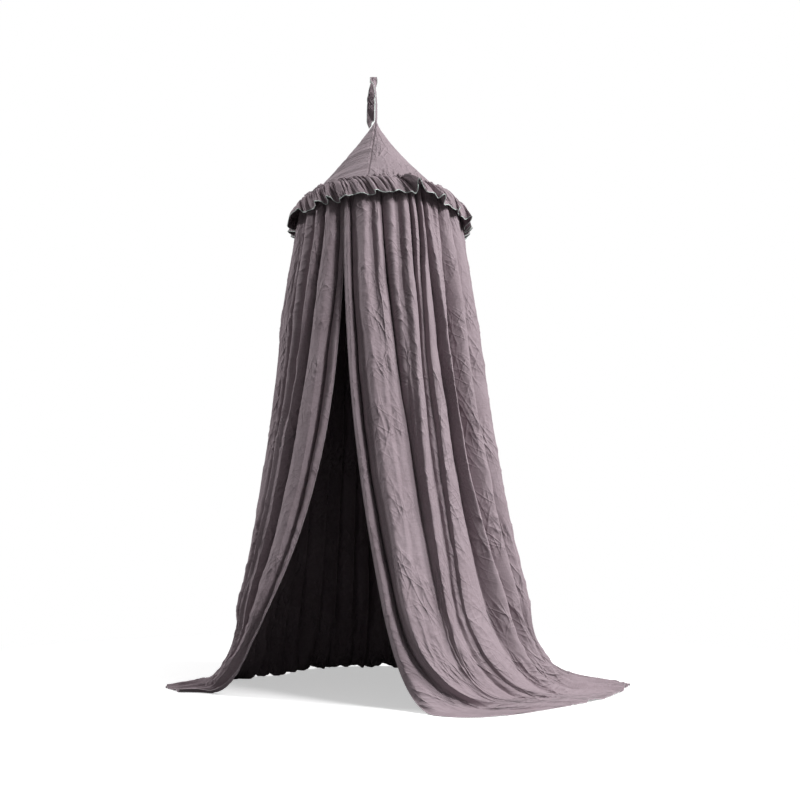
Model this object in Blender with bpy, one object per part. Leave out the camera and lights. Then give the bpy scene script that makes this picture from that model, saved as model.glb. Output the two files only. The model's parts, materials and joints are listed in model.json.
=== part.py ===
"""Hanging play canopy: a tape loop, a cone sewn over a hoop, a ruffle and a gathered curtain that opens at the front."""

import math

import bmesh
import bpy
import numpy as np
from mathutils import Vector

# Driving sizes in metres. The origin is inside the top of the loop, where a ceiling hook bears, and +Z is up.
# Turns are in degrees round the hoop's centre: 0 is the front, 90 the right side and 180 the back.
LOOP_DROP = 0.17
CONE_HEIGHT = 0.35
HOOP_HEIGHT = 1.54
HOOP_DIAMETER = 0.50
APEX_SHIFT = 0.008
HOOP_SHIFT = 0.021
SEWN_GAP = 0.0005
FULL_TURN = 360.0

# Tape of the hanging loop
TAPE_WIDTH = 0.025
TAPE_THICKNESS = 0.002
TAPE_BEND_RADIUS = 0.011
TAPE_BULGE = 0.012
TAPE_SEWN_DROP = 0.018
TAPE_BEND_STEPS = 9
TAPE_LEG_STEPS = 12

# Cone of two panels, sewn at the front and the back
CONE_THICKNESS = 0.0015
CONE_TIP_RADIUS = 0.004
CONE_SEAM_TURN = -8.6
CONE_PANEL_STEPS = 24
CONE_ROWS = 6
CONE_SAG = 0.35

# Hoop of four plastic tubes, their push-on sleeves and the fabric channel round them
HOOP_TUBE_RADIUS = 0.005
HOOP_TUBES = 4
HOOP_FIRST_JOINT_TURN = 36.0
HOOP_TUBE_STEPS = 12
HOOP_TUBE_SIDES = 8
TUBE_END_GAP = 0.0006
SLEEVE_CLEARANCE = 0.0003
SLEEVE_WALL = 0.0012
SLEEVE_LENGTH = 0.040
CHANNEL_CLEARANCE = 0.0005
CHANNEL_CLOTH = 0.0012
CHANNEL_SLIT_DEG = 50.0
CHANNEL_SLIT_TURN = 118.0
CHANNEL_SIDES = 6
CHANNEL_STEPS = 60
CHANNEL_MOUTH = 0.060

# Gathered curtain
CLOTH_THICKNESS = 0.0025
HEADING_DROP = 0.105
HEADING_RISE = 0.0035
FOOT_RADIUS = 0.46
SPILL_REACH = 0.30
CORNER_HEIGHT = 0.24
CORNER_RUN = 0.17
BENT_SPILL_SHARE = 0.55
TOP_FOLD_DEPTH = 0.004
HEADING_FOLD_DEPTH = 0.021
FOLD_DEPTH = 0.031
FOLD_GROWTH = 0.80
RIDGE_DEPTH = 0.018
RIDGE_HEIGHT = 0.11
FLAT_HEM = 0.045
OPENING_GAP = 0.003
LEADING_TURN = -23.5
RIGHT_SEAM_TURN = 128.0
LEFT_SEAM_TURN = 232.0
RIGHT_FOLDS = 9.5
LEFT_FOLDS = 6.5
BACK_FOLDS = 6
COLUMNS_PER_FOLD = 4
HEADING_ROWS = 2
HANGING_ROWS = 6
FOOT_ROWS = 9
FOLD_UNEVEN_SHARE = 0.03
FOLD_UNEVEN_WAVES = 2.5
PATH_STEPS = 60

# How the curtain hangs at each turn round the hoop. Columns: turn at the hoop, turn at the floor, reach there as a
# share of FOOT_RADIUS, power that times the turning, power that times the reach, spill on the floor as a share of
# SPILL_REACH, the way the spill points as a turn, and how far it bows sideways as a share of its length.
DRAPE_SHARES = np.array(
    [
        (LEADING_TURN, 9.5, 0.85, 1.60, 1.00, 1.00, 82.0, 0.25),
        (10.0, 24.0, 0.90, 1.3, 1.00, 1.10, 99.0, 0.12),
        (32.0, 41.0, 0.95, 1.2, 1.05, 1.10, 107.0, 0.04),
        (58.0, 62.0, 1.00, 1.0, 1.22, 1.00, 108.0, 0.00),
        (80.0, 80.0, 1.03, 1.0, 1.38, 0.98, 105.0, 0.00),
        (96.0, 94.0, 1.03, 1.0, 1.38, 1.02, 101.0, 0.00),
        (108.0, 106.0, 1.00, 1.0, 1.27, 0.72, 107.0, 0.00),
        (118.0, 117.0, 0.98, 1.0, 1.14, 0.28, 117.0, 0.00),
        (RIGHT_SEAM_TURN, 127.0, 0.96, 1.0, 1.00, 0.00, 127.0, 0.00),
        (145.0, 144.0, 0.96, 1.0, 1.00, 0.22, 144.0, 0.00),
        (180.0, 179.0, 0.96, 1.0, 1.00, 0.30, 179.0, 0.00),
        (215.0, 213.0, 0.96, 1.0, 1.00, 0.22, 213.0, 0.00),
        (LEFT_SEAM_TURN, 230.0, 0.96, 1.0, 1.00, 0.00, 230.0, 0.00),
        (248.0, 241.0, 0.95, 1.1, 1.12, 0.27, 245.0, 0.00),
        (265.0, 251.0, 0.92, 1.3, 1.20, 0.50, 264.0, 0.00),
        (285.0, 261.0, 0.95, 1.6, 1.40, 0.68, 268.0, 0.00),
        (305.0, 269.0, 0.97, 2.0, 1.58, 0.70, 270.0, 0.00),
        (322.0, 279.0, 0.96, 2.5, 1.50, 0.62, 262.0, 0.00),
        (LEADING_TURN + FULL_TURN, 289.5, 0.99, 3.6, 1.80, 0.56, 250.0, 0.10),
    ]
)

# Ruffle. Rows: height as a share of RUFFLE_DROP, flare as a share of RUFFLE_FLARE, wave as a share of RUFFLE_WAVE.
RUFFLE_DROP = 0.068
RUFFLE_FLARE = 0.034
RUFFLE_WAVE = 0.012
RUFFLE_THICKNESS = 0.0015
RUFFLE_CLEARANCE = 0.0015
RUFFLE_WAVES = 32
RUFFLE_ROW_SHARES = ((0.18, 0.10, 0.30), (0.0, 0.0, 0.0), (-0.5, 0.55, 0.55), (-1.0, 1.0, 1.0))

# Sizes worked out from those above
HOOP_RADIUS = HOOP_DIAMETER / 2
APEX_Z = -LOOP_DROP
HOOP_Z = APEX_Z - CONE_HEIGHT
FLOOR_Z = HOOP_Z - HOOP_HEIGHT
SLEEVE_BORE = HOOP_TUBE_RADIUS + SLEEVE_CLEARANCE
SLEEVE_RADIUS = SLEEVE_BORE + SLEEVE_WALL
CHANNEL_BORE = SLEEVE_RADIUS + CHANNEL_CLEARANCE
CHANNEL_BEND = math.radians(FULL_TURN - CHANNEL_SLIT_DEG) / CHANNEL_SIDES
CHANNEL_RADIUS = CHANNEL_BORE / math.cos(CHANNEL_BEND / 2) + CHANNEL_CLOTH
CURTAIN_TOP_RADIUS = HOOP_RADIUS + CHANNEL_RADIUS + SEWN_GAP + CLOTH_THICKNESS
CONE_FOOT_RADIUS = CURTAIN_TOP_RADIUS - SEWN_GAP
CONE_TILT = CONE_FOOT_RADIUS / math.hypot(CONE_FOOT_RADIUS, CONE_HEIGHT)
CONE_FOOT_Z = HOOP_Z + HEADING_RISE + SEWN_GAP + CONE_THICKNESS * CONE_TILT
RUFFLE_TOP_RADIUS = CURTAIN_TOP_RADIUS + TOP_FOLD_DEPTH + RUFFLE_CLEARANCE + RUFFLE_THICKNESS


def remove_everything():
    for old in list(bpy.data.objects):
        bpy.data.objects.remove(old, do_unlink=True)


def material(name, colour, roughness, metallic=0.0):
    made = bpy.data.materials.new(name)
    made.use_nodes = True
    shader = made.node_tree.nodes["Principled BSDF"]
    shader.inputs["Base Color"].default_value = (*colour, 1.0)
    shader.inputs["Roughness"].default_value = roughness
    shader.inputs["Metallic"].default_value = metallic
    return made


def pivot(name, place, parent=None):
    empty = bpy.data.objects.new(name, None)
    bpy.context.collection.objects.link(empty)
    empty.parent = parent
    base = Vector(parent["place"]) if parent else Vector((0, 0, 0))
    empty["place"] = tuple(place)
    empty.location = Vector(place) - base
    return empty


def solid(name, points, faces, finish, parent, sharp_deg=40.0):
    """One closed body. Its points are given in the part's frame and stored from its pivot."""
    base = Vector(parent["place"])
    mesh = bpy.data.meshes.new(name)
    mesh.from_pydata([Vector(p) - base for p in points], [], faces)
    shape = bmesh.new()
    shape.from_mesh(mesh)
    bmesh.ops.recalc_face_normals(shape, faces=shape.faces)
    shape.to_mesh(mesh)
    shape.free()
    mesh.shade_smooth()
    mesh.set_sharp_from_angle(angle=math.radians(sharp_deg))
    mesh.materials.append(finish)
    made = bpy.data.objects.new(name, mesh)
    bpy.context.collection.objects.link(made)
    made.parent = parent
    return made


def round_hoop(turn, reach, z):
    """A point at a turn and a distance from the hoop's centre."""
    angle = math.radians(turn)
    return np.array((HOOP_SHIFT + reach * math.sin(angle), -reach * math.cos(angle), z))


def heading_towards(turn):
    angle = math.radians(turn)
    return np.array((math.sin(angle), -math.cos(angle), 0.0))


def ease(share):
    kept = np.clip(share, 0.0, 1.0)
    return kept * kept * (3.0 - 2.0 * kept)


def drape_at(turn):
    """The drape table's columns at one turn, on a smooth curve through its rows."""
    turns = DRAPE_SHARES[:, 0]
    row = int(np.clip(np.searchsorted(turns, turn) - 1, 0, len(turns) - 2))
    width = turns[row + 1] - turns[row]
    part = np.clip((turn - turns[row]) / width, 0.0, 1.0)
    slopes = np.gradient(DRAPE_SHARES, turns, axis=0)
    first, last = DRAPE_SHARES[row], DRAPE_SHARES[row + 1]
    leave = (part**3 - 2 * part**2 + part) * width
    arrive = (part**3 - part**2) * width
    return first + (last - first) * ease(part) + slopes[row] * leave + slopes[row + 1] * arrive


def hanging_point(turn, drape, share):
    """A point of the hanging cloth's outer side, from the hoop at share 0 to the floor at share 1."""
    foot_turn, foot_share, turn_power, reach_power = drape[1:5]
    now = turn + (foot_turn - turn) * share**turn_power
    reach = CURTAIN_TOP_RADIUS + (foot_share * FOOT_RADIUS - CURTAIN_TOP_RADIUS) * share**reach_power
    return round_hoop(now, reach, HOOP_Z - share * (HOOP_HEIGHT - CLOTH_THICKNESS))


def floor_point(foot, drape, run, spill):
    """A point of the cloth that lies on the floor, run metres past the foot of the hanging cloth."""
    way = heading_towards(drape[6])
    side = heading_towards(drape[6] - 90.0)
    part = run / spill if spill > 0 else 0.0
    return foot + way * run + side * drape[7] * spill * 4.0 * part * (1.0 - part)


def cloth_path(turn):
    """The cloth's way down from the hoop and out over the floor at one turn, as close points."""
    drape = drape_at(turn)
    height = HOOP_HEIGHT - CLOTH_THICKNESS
    corner = 1.0 - CORNER_HEIGHT / height
    spill = max(drape[5], 0.0) * SPILL_REACH
    bend_run = min(CORNER_RUN * (1.0 - 2.0 * abs(drape[7])), spill * BENT_SPILL_SHARE)
    foot = hanging_point(turn, drape, 1.0)
    start = hanging_point(turn, drape, corner)
    end = floor_point(foot, drape, bend_run, spill)
    points = [hanging_point(turn, drape, corner * k / PATH_STEPS) for k in range(PATH_STEPS)]
    for k in range(PATH_STEPS):
        b = k / PATH_STEPS
        points.append(start * (1 - b) ** 2 + foot * 2 * b * (1 - b) + end * b**2)
    for k in range(PATH_STEPS + 1):
        run = bend_run + (spill - bend_run) * k / PATH_STEPS
        points.append(floor_point(foot, drape, run, spill))
    return np.array(points)


def seam_ends(turn):
    """Where the sewn line at a turn starts at the hoop and ends at the floor."""
    drape = drape_at(turn)
    return hanging_point(turn, drape, 0.0), hanging_point(turn, drape, 1.0)


def heading_cut(hinge_turn):
    """The flat cut between a heading and its panel, as a point and a normal, square to the line the panel swings on."""
    top, foot = seam_ends(hinge_turn)
    normal = (top - foot) / np.linalg.norm(top - foot)
    return top + (foot - top) * HEADING_DROP / HOOP_HEIGHT, normal


def level_cut():
    """The flat level cut between the heading and the panel that doesn't swing."""
    return np.array((0.0, 0.0, HOOP_Z - HEADING_DROP)), np.array((0.0, 0.0, 1.0))


def flatten_to(points, cut, gap):
    """Points slid up or down onto the cut, or to a gap below it."""
    place, normal = cut
    height = (points - place) @ normal + gap
    moved = points.copy()
    moved[..., 2] -= height / normal[2]
    return moved


def run_lengths(points):
    steps = np.linalg.norm(np.diff(points, axis=0), axis=1)
    return np.concatenate(((0.0,), np.cumsum(steps)))


def along(points, wanted):
    """Points at given distances along a path."""
    runs = run_lengths(points)
    return np.stack([np.interp(wanted, runs, points[:, k]) for k in range(3)], axis=1)


def cut_run(points, cut):
    """How far down a path it crosses a cut."""
    place, normal = cut
    above = (points - place) @ normal
    return np.interp(0.0, -above[:PATH_STEPS], run_lengths(points)[:PATH_STEPS])


def grid_normals(grid):
    """Unit normals of a grid of points, columns first, pointing away from the hoop's axis and up off the floor."""
    across = np.gradient(grid, axis=0)
    down = np.gradient(grid, axis=1)
    normals = np.cross(down, across)
    return normals / np.maximum(np.linalg.norm(normals, axis=2, keepdims=True), 1e-12)


def fold_depth(z, to_hem):
    """How far folds stand out of the cloth at a height, as ridges on the floor and nothing along the hem."""
    drop = HOOP_Z - z
    upper = TOP_FOLD_DEPTH + (HEADING_FOLD_DEPTH - TOP_FOLD_DEPTH) * ease(drop / HEADING_DROP)
    hanging = upper + (FOLD_DEPTH - HEADING_FOLD_DEPTH) * ease((drop - HEADING_DROP) / FOLD_GROWTH)
    on_floor = 1.0 - ease((z - FLOOR_Z - CLOTH_THICKNESS) / RIDGE_HEIGHT)
    depth = hanging + (RIDGE_DEPTH - hanging) * on_floor
    flat = ease(to_hem / FLAT_HEM - 1.0)
    return depth * (1.0 - on_floor * (1.0 - flat))


def thick_grid(outer, inner):
    """Points and faces of a closed sheet between two grids."""
    columns, rows = outer.shape[:2]
    points = np.concatenate((outer.reshape(-1, 3), inner.reshape(-1, 3)))
    back = columns * rows
    faces = []
    for i in range(columns - 1):
        for j in range(rows - 1):
            a, b, c, d = i * rows + j, (i + 1) * rows + j, (i + 1) * rows + j + 1, i * rows + j + 1
            faces.append((a, b, c, d))
            faces.append((back + a, back + d, back + c, back + b))
    rim = [(i, 0) for i in range(columns - 1)]
    rim += [(columns - 1, j) for j in range(rows - 1)]
    rim += [(i, rows - 1) for i in range(columns - 1, 0, -1)]
    rim += [(0, j) for j in range(rows - 1, 0, -1)]
    for here, there in zip(rim, rim[1:] + rim[:1]):
        a = here[0] * rows + here[1]
        b = there[0] * rows + there[1]
        faces.append((a, back + a, back + b, b))
    return points, faces


def fold_turns(first_turn, last_turn, folds):
    """The turn of each column across the folds, closer together where folds are narrow, and each one's share."""
    shares = np.linspace(0.0, 1.0, int(round(folds * COLUMNS_PER_FOLD)) + 1)
    whole_waves = np.sin(math.tau * FOLD_UNEVEN_WAVES * shares) * np.sin(math.pi * shares)
    return first_turn + (last_turn - first_turn) * (shares + FOLD_UNEVEN_SHARE * whole_waves), shares


def folded(base, to_hem, shares, folds, phase):
    """The grid with its folds standing out of it."""
    crest = np.abs(np.sin(math.pi * (folds * shares + phase)))[:, None]
    return base + grid_normals(base) * (fold_depth(base[..., 2], to_hem) * crest)[..., None]


def panel_grid(turns, shares, folds, phase, cut):
    """A panel from the cut down to its hem. Its rows are even down to the corner above the floor, and again past it."""
    base = []
    to_hem = []
    for turn in turns:
        path = cloth_path(turn)
        runs = run_lengths(path)
        hanging = np.linspace(cut_run(path, cut) + SEWN_GAP, runs[PATH_STEPS], HANGING_ROWS + 1)
        foot = np.linspace(runs[PATH_STEPS], runs[-1], FOOT_ROWS + 1)
        wanted = np.concatenate((hanging, foot[1:]))
        base.append(along(path, wanted))
        to_hem.append(runs[-1] - wanted)
    return folded(np.array(base), np.array(to_hem), shares, folds, phase)


def heading_grid(turns, shares, folds, phase, cut):
    """A heading from just above the hoop down to the cut."""
    base = []
    for turn in turns:
        path = cloth_path(turn)
        end = along(path, [cut_run(path, cut)])[0]
        top = path[0] + np.array((0.0, 0.0, HEADING_RISE))
        drop = np.linspace(0.0, 1.0, HEADING_ROWS + 1)[:, None]
        base.append(top + (end - top) * drop)
    return folded(np.array(base), HOOP_HEIGHT, shares, folds, phase)


def curtain_piece(heading_name, panel_name, first_turn, last_turn, folds, phase, cut, finish, parents):
    """A gathered piece of curtain: its heading, which stays on the hoop, and the panel below the cut."""
    turns, shares = fold_turns(first_turn, last_turn, folds)
    outer = heading_grid(turns, shares, folds, phase, cut)
    inner = outer - grid_normals(outer) * CLOTH_THICKNESS
    rim = (np.array((0.0, 0.0, HOOP_Z + HEADING_RISE)), np.array((0.0, 0.0, 1.0)))
    for grid in (outer, inner):
        grid[:, 0] = flatten_to(grid[:, 0], rim, 0.0)
        grid[:, -1] = flatten_to(grid[:, -1], cut, 0.0)
    solid(heading_name, *thick_grid(outer, inner), finish, parents[0])
    outer = panel_grid(turns, shares, folds, phase, cut)
    inner = outer - level_normals(outer) * CLOTH_THICKNESS
    for grid in (outer, inner):
        grid[:, 0] = flatten_to(grid[:, 0], cut, SEWN_GAP)
    solid(panel_name, *thick_grid(outer, inner), finish, parents[1])


def level_normals(grid):
    """Normals of a curtain's grid, made exactly upright along the hem that lies flat on the floor."""
    normals = grid_normals(grid)
    lying = grid[..., 2] < FLOOR_Z + CLOTH_THICKNESS + SEWN_GAP
    normals[lying] = (0.0, 0.0, 1.0)
    return normals


def cone_panel(name, first_turn, finish, parent):
    """Half of the cone, from its tip down to the hoop."""
    margin = math.degrees(SEWN_GAP / 2 / CONE_FOOT_RADIUS)
    turns = np.linspace(first_turn + margin, first_turn + FULL_TURN / 2 - margin, CONE_PANEL_STEPS + 1)
    grid = np.zeros((len(turns), CONE_ROWS + 1, 3))
    slope = math.hypot(CONE_FOOT_RADIUS - CONE_TIP_RADIUS, CONE_FOOT_Z - APEX_Z)
    out = (APEX_Z - CONE_FOOT_Z) / slope
    up = (CONE_FOOT_RADIUS - CONE_TIP_RADIUS) / slope
    normals = np.zeros_like(grid)
    for i, turn in enumerate(turns):
        for j in range(CONE_ROWS + 1):
            share = j / CONE_ROWS
            slack = CONE_SAG * ease(heading_towards(turn)[0])
            reach = CONE_TIP_RADIUS + (CONE_FOOT_RADIUS - CONE_TIP_RADIUS) * share ** (1.0 + slack)
            place = round_hoop(turn, reach, APEX_Z + (CONE_FOOT_Z - APEX_Z) * share)
            place[0] -= (HOOP_SHIFT - APEX_SHIFT) * (1.0 - share)
            grid[i, j] = place
            normals[i, j] = heading_towards(turn) * out + np.array((0, 0, up))
    points, faces = thick_grid(grid, grid - normals * CONE_THICKNESS)
    return solid(name, points, faces, finish, parent)


def hoop_frame(turn):
    """Centre of the hoop's section at a turn, and its two directions across: away from the axis, and up."""
    return round_hoop(turn, HOOP_RADIUS, HOOP_Z), heading_towards(turn), np.array((0.0, 0.0, 1.0))


def swept_section(outline, turns):
    """Points and side faces of a closed section, given as distances out and up, carried through turns of the hoop."""
    points = []
    for turn in turns:
        centre, out, up = hoop_frame(turn)
        points += [centre + out * x + up * y for x, y in outline]
    count = len(outline)
    faces = []
    for k in range(len(turns) - 1):
        for i in range(count):
            j = (i + 1) % count
            faces.append((k * count + i, k * count + j, (k + 1) * count + j, (k + 1) * count + i))
    return points, faces


def hoop_tube(name, first_joint, last_joint, finish, parent):
    """One tube between two joints, with a station where each sleeve ends so that tube and sleeve bend alike."""
    gap = math.degrees(TUBE_END_GAP / 2 / HOOP_RADIUS)
    sleeve = math.degrees(SLEEVE_LENGTH / 2 / HOOP_RADIUS)
    bare = np.linspace(first_joint + sleeve, last_joint - sleeve, HOOP_TUBE_STEPS + 1)
    corners = [math.tau * k / HOOP_TUBE_SIDES for k in range(HOOP_TUBE_SIDES)]
    outline = [(HOOP_TUBE_RADIUS * math.cos(a), HOOP_TUBE_RADIUS * math.sin(a)) for a in corners]
    points, faces = swept_section(outline, (first_joint + gap, *bare, last_joint - gap))
    faces.append(tuple(range(HOOP_TUBE_SIDES)))
    faces.append(tuple(range(len(points) - HOOP_TUBE_SIDES, len(points)))[::-1])
    return solid(name, points, faces, finish, parent, sharp_deg=60.0)


def hoop_sleeve(name, middle_turn, finish, parent):
    """A short open sleeve that two tube ends push into."""
    half = math.degrees(SLEEVE_LENGTH / 2 / HOOP_RADIUS)
    points = []
    for turn in (middle_turn - half, middle_turn, middle_turn + half):
        centre, out, up = hoop_frame(turn)
        for k in range(HOOP_TUBE_SIDES):
            angle = math.tau * k / HOOP_TUBE_SIDES
            way = out * math.cos(angle) + up * math.sin(angle)
            points.append(centre + way * SLEEVE_RADIUS)
            points.append(centre + way * SLEEVE_BORE)
    ring = 2 * HOOP_TUBE_SIDES
    faces = []
    for k in range(HOOP_TUBE_SIDES):
        a, b = 2 * k, 2 * ((k + 1) % HOOP_TUBE_SIDES)
        for low, high in ((0, ring), (ring, 2 * ring)):
            faces.append((low + a, low + b, high + b, high + a))
            faces.append((low + a + 1, high + a + 1, high + b + 1, low + b + 1))
        end = 2 * ring
        faces.append((a, a + 1, b + 1, b))
        faces.append((end + a, end + b, end + b + 1, end + a + 1))
    return solid(name, points, faces, finish, parent, sharp_deg=60.0)


def hoop_channel(name, finish, parent):
    """The fabric channel sewn inside the cone's edge, slit where it is sewn and open at the back for the hoop."""
    start = math.radians(CHANNEL_SLIT_TURN + CHANNEL_SLIT_DEG / 2)
    sweep = math.radians(FULL_TURN - CHANNEL_SLIT_DEG)
    angles = [start + sweep * k / CHANNEL_SIDES for k in range(CHANNEL_SIDES + 1)]
    inside = CHANNEL_RADIUS - CHANNEL_CLOTH
    outline = [(CHANNEL_RADIUS * math.cos(a), CHANNEL_RADIUS * math.sin(a)) for a in angles]
    outline += [(inside * math.cos(a), inside * math.sin(a)) for a in reversed(angles)]
    mouth = math.degrees(CHANNEL_MOUTH / 2 / HOOP_RADIUS)
    back = FULL_TURN / 2
    turns = np.linspace(back + mouth, back + FULL_TURN - mouth, CHANNEL_STEPS + 1)
    points, faces = swept_section(outline, turns)
    count = len(outline)
    for base, order in ((0, 1), (len(points) - count, -1)):
        for k in range(CHANNEL_SIDES):
            quad = (base + k, base + k + 1, base + count - 2 - k, base + count - 1 - k)
            faces.append(quad[::order])
    return solid(name, points, faces, finish, parent)


def ruffle(name, finish, parent):
    """A gathered frill sewn round the hoop, with a small header above its seam."""
    margin = math.degrees(SEWN_GAP / 2 / RUFFLE_TOP_RADIUS)
    back = FULL_TURN / 2
    turns = np.linspace(back + margin, back + FULL_TURN - margin, RUFFLE_WAVES * COLUMNS_PER_FOLD + 1)
    grid = np.zeros((len(turns), len(RUFFLE_ROW_SHARES), 3))
    for i, turn in enumerate(turns):
        wave = math.sin(math.radians(turn) * RUFFLE_WAVES)
        for j, (height, flare, swing) in enumerate(RUFFLE_ROW_SHARES):
            reach = RUFFLE_TOP_RADIUS + RUFFLE_FLARE * flare + RUFFLE_WAVE * swing * wave
            if height > 0:
                reach = max(reach, RUFFLE_TOP_RADIUS)
            grid[i, j] = round_hoop(turn, reach, HOOP_Z + RUFFLE_DROP * height)
    points, faces = thick_grid(grid, grid - grid_normals(grid) * RUFFLE_THICKNESS)
    return solid(name, points, faces, finish, parent)


def tape_route():
    """The loop's middle line and the tape's width direction: down the front leg's tip, over the hook and behind."""
    bend = TAPE_BEND_RADIUS + TAPE_THICKNESS / 2
    centre_z = -TAPE_BEND_RADIUS * math.cos(math.pi / TAPE_BEND_STEPS / 2)
    sewn_front = np.array((APEX_SHIFT, 0.0, APEX_Z + SEWN_GAP))
    sewn_reach = TAPE_SEWN_DROP / CONE_HEIGHT * CONE_FOOT_RADIUS + CONE_TIP_RADIUS + TAPE_THICKNESS
    sewn_back = np.array((APEX_SHIFT - sewn_reach, 0.0, APEX_Z - TAPE_SEWN_DROP))
    route = []
    for k in range(TAPE_LEG_STEPS):
        share = k / TAPE_LEG_STEPS
        place = sewn_front + (np.array((0.0, -bend, centre_z)) - sewn_front) * np.array((share, ease(2 * share), share))
        route.append((place, 90.0 * (1.0 - ease(share))))
    for k in range(TAPE_BEND_STEPS + 1):
        angle = math.pi * k / TAPE_BEND_STEPS
        route.append((np.array((0.0, -bend * math.cos(angle), centre_z + bend * math.sin(angle))), 0.0))
    for k in range(1, TAPE_LEG_STEPS + 1):
        share = k / TAPE_LEG_STEPS
        line = np.array((0.0, bend, centre_z)) * (1 - share) + sewn_back * share
        line[1] = bend * (1 - ease(2 * share - 1))
        bulge = np.array((-TAPE_BULGE * 4 * share * (1 - share), 0.0, 0.0))
        route.append((line + bulge, -90.0 * ease(2 * share - 1)))
    return route


def tape_loop(name, finish, parent):
    """A flat tape with both ends sewn to the cone's tip, twisted a quarter turn on each leg."""
    route = tape_route()
    places = np.array([place for place, twist in route])
    ways = np.gradient(places, axis=0)
    ways /= np.linalg.norm(ways, axis=1, keepdims=True)
    points = []
    for place, way, twist in zip(places, ways, [twist for place, twist in route]):
        angle = math.radians(twist)
        width = np.array((math.cos(angle), math.sin(angle), 0.0))
        width -= way * float(width @ way)
        width /= np.linalg.norm(width)
        face = np.cross(way, width)
        for x, y in ((-1, -1), (1, -1), (1, 1), (-1, 1)):
            points.append(place + width * x * TAPE_WIDTH / 2 + face * y * TAPE_THICKNESS / 2)
    faces = []
    for k in range(len(route) - 1):
        for i in range(4):
            j = (i + 1) % 4
            faces.append((4 * k + i, 4 * k + j, 4 * k + 4 + j, 4 * k + 4 + i))
    last = 4 * (len(route) - 1)
    faces.append((0, 3, 2, 1))
    faces.append((last, last + 1, last + 2, last + 3))
    return solid(name, points, faces, finish, parent)


def build_hoop(plastic, lining, canopy):
    arc = FULL_TURN / HOOP_TUBES
    for k in range(HOOP_TUBES):
        joint = HOOP_FIRST_JOINT_TURN + arc * k
        hoop_tube(f"hoop_tube_{k + 1}", joint, joint + arc, plastic, canopy)
        hoop_sleeve(f"hoop_sleeve_{k + 1}", joint, plastic, canopy)
    hoop_channel("hoop_channel", lining, canopy)


def build_curtain(cloth, canopy, left_flap, right_flap):
    gap = math.degrees(SEWN_GAP / 2 / CURTAIN_TOP_RADIUS)
    opening = math.degrees(OPENING_GAP / 2 / CURTAIN_TOP_RADIUS)
    right = (LEADING_TURN + opening, RIGHT_SEAM_TURN - gap, RIGHT_FOLDS, 0.5, heading_cut(RIGHT_SEAM_TURN))
    back = (RIGHT_SEAM_TURN + gap, LEFT_SEAM_TURN - gap, BACK_FOLDS, 0.0, level_cut())
    left = (LEFT_SEAM_TURN + gap, LEADING_TURN + FULL_TURN - opening, LEFT_FOLDS, 0.0, heading_cut(LEFT_SEAM_TURN))
    curtain_piece("right_heading", "right_front_panel", *right, cloth, (canopy, right_flap))
    curtain_piece("back_heading", "back_panel", *back, cloth, (canopy, canopy))
    curtain_piece("left_heading", "left_front_panel", *left, cloth, (canopy, left_flap))


def main():
    remove_everything()
    cloth = material("canopy_cloth", (0.262, 0.205, 0.223), 0.85)
    lining = material("channel_cloth", (0.225, 0.176, 0.192), 0.88)
    tape = material("loop_tape", (0.235, 0.184, 0.200), 0.80)
    plastic = material("hoop_plastic", (0.78, 0.78, 0.76), 0.45)
    hook = pivot("hook_pivot", (0, 0, 0))
    canopy = pivot("canopy_pivot", (APEX_SHIFT, 0, APEX_Z), hook)
    right_flap = pivot("right_flap_pivot", seam_ends(RIGHT_SEAM_TURN)[0], canopy)
    left_flap = pivot("left_flap_pivot", seam_ends(LEFT_SEAM_TURN)[0], canopy)
    tape_loop("tape_loop", tape, hook)
    cone_panel("cone_panel_right", CONE_SEAM_TURN, cloth, canopy)
    cone_panel("cone_panel_left", CONE_SEAM_TURN + FULL_TURN / 2, cloth, canopy)
    build_hoop(plastic, lining, canopy)
    ruffle("ruffle", cloth, canopy)
    build_curtain(cloth, canopy, left_flap, right_flap)


main()
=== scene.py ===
"""Looks of the hanging play canopy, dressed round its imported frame. Metres, and turns in degrees."""

import json
import math

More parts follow.
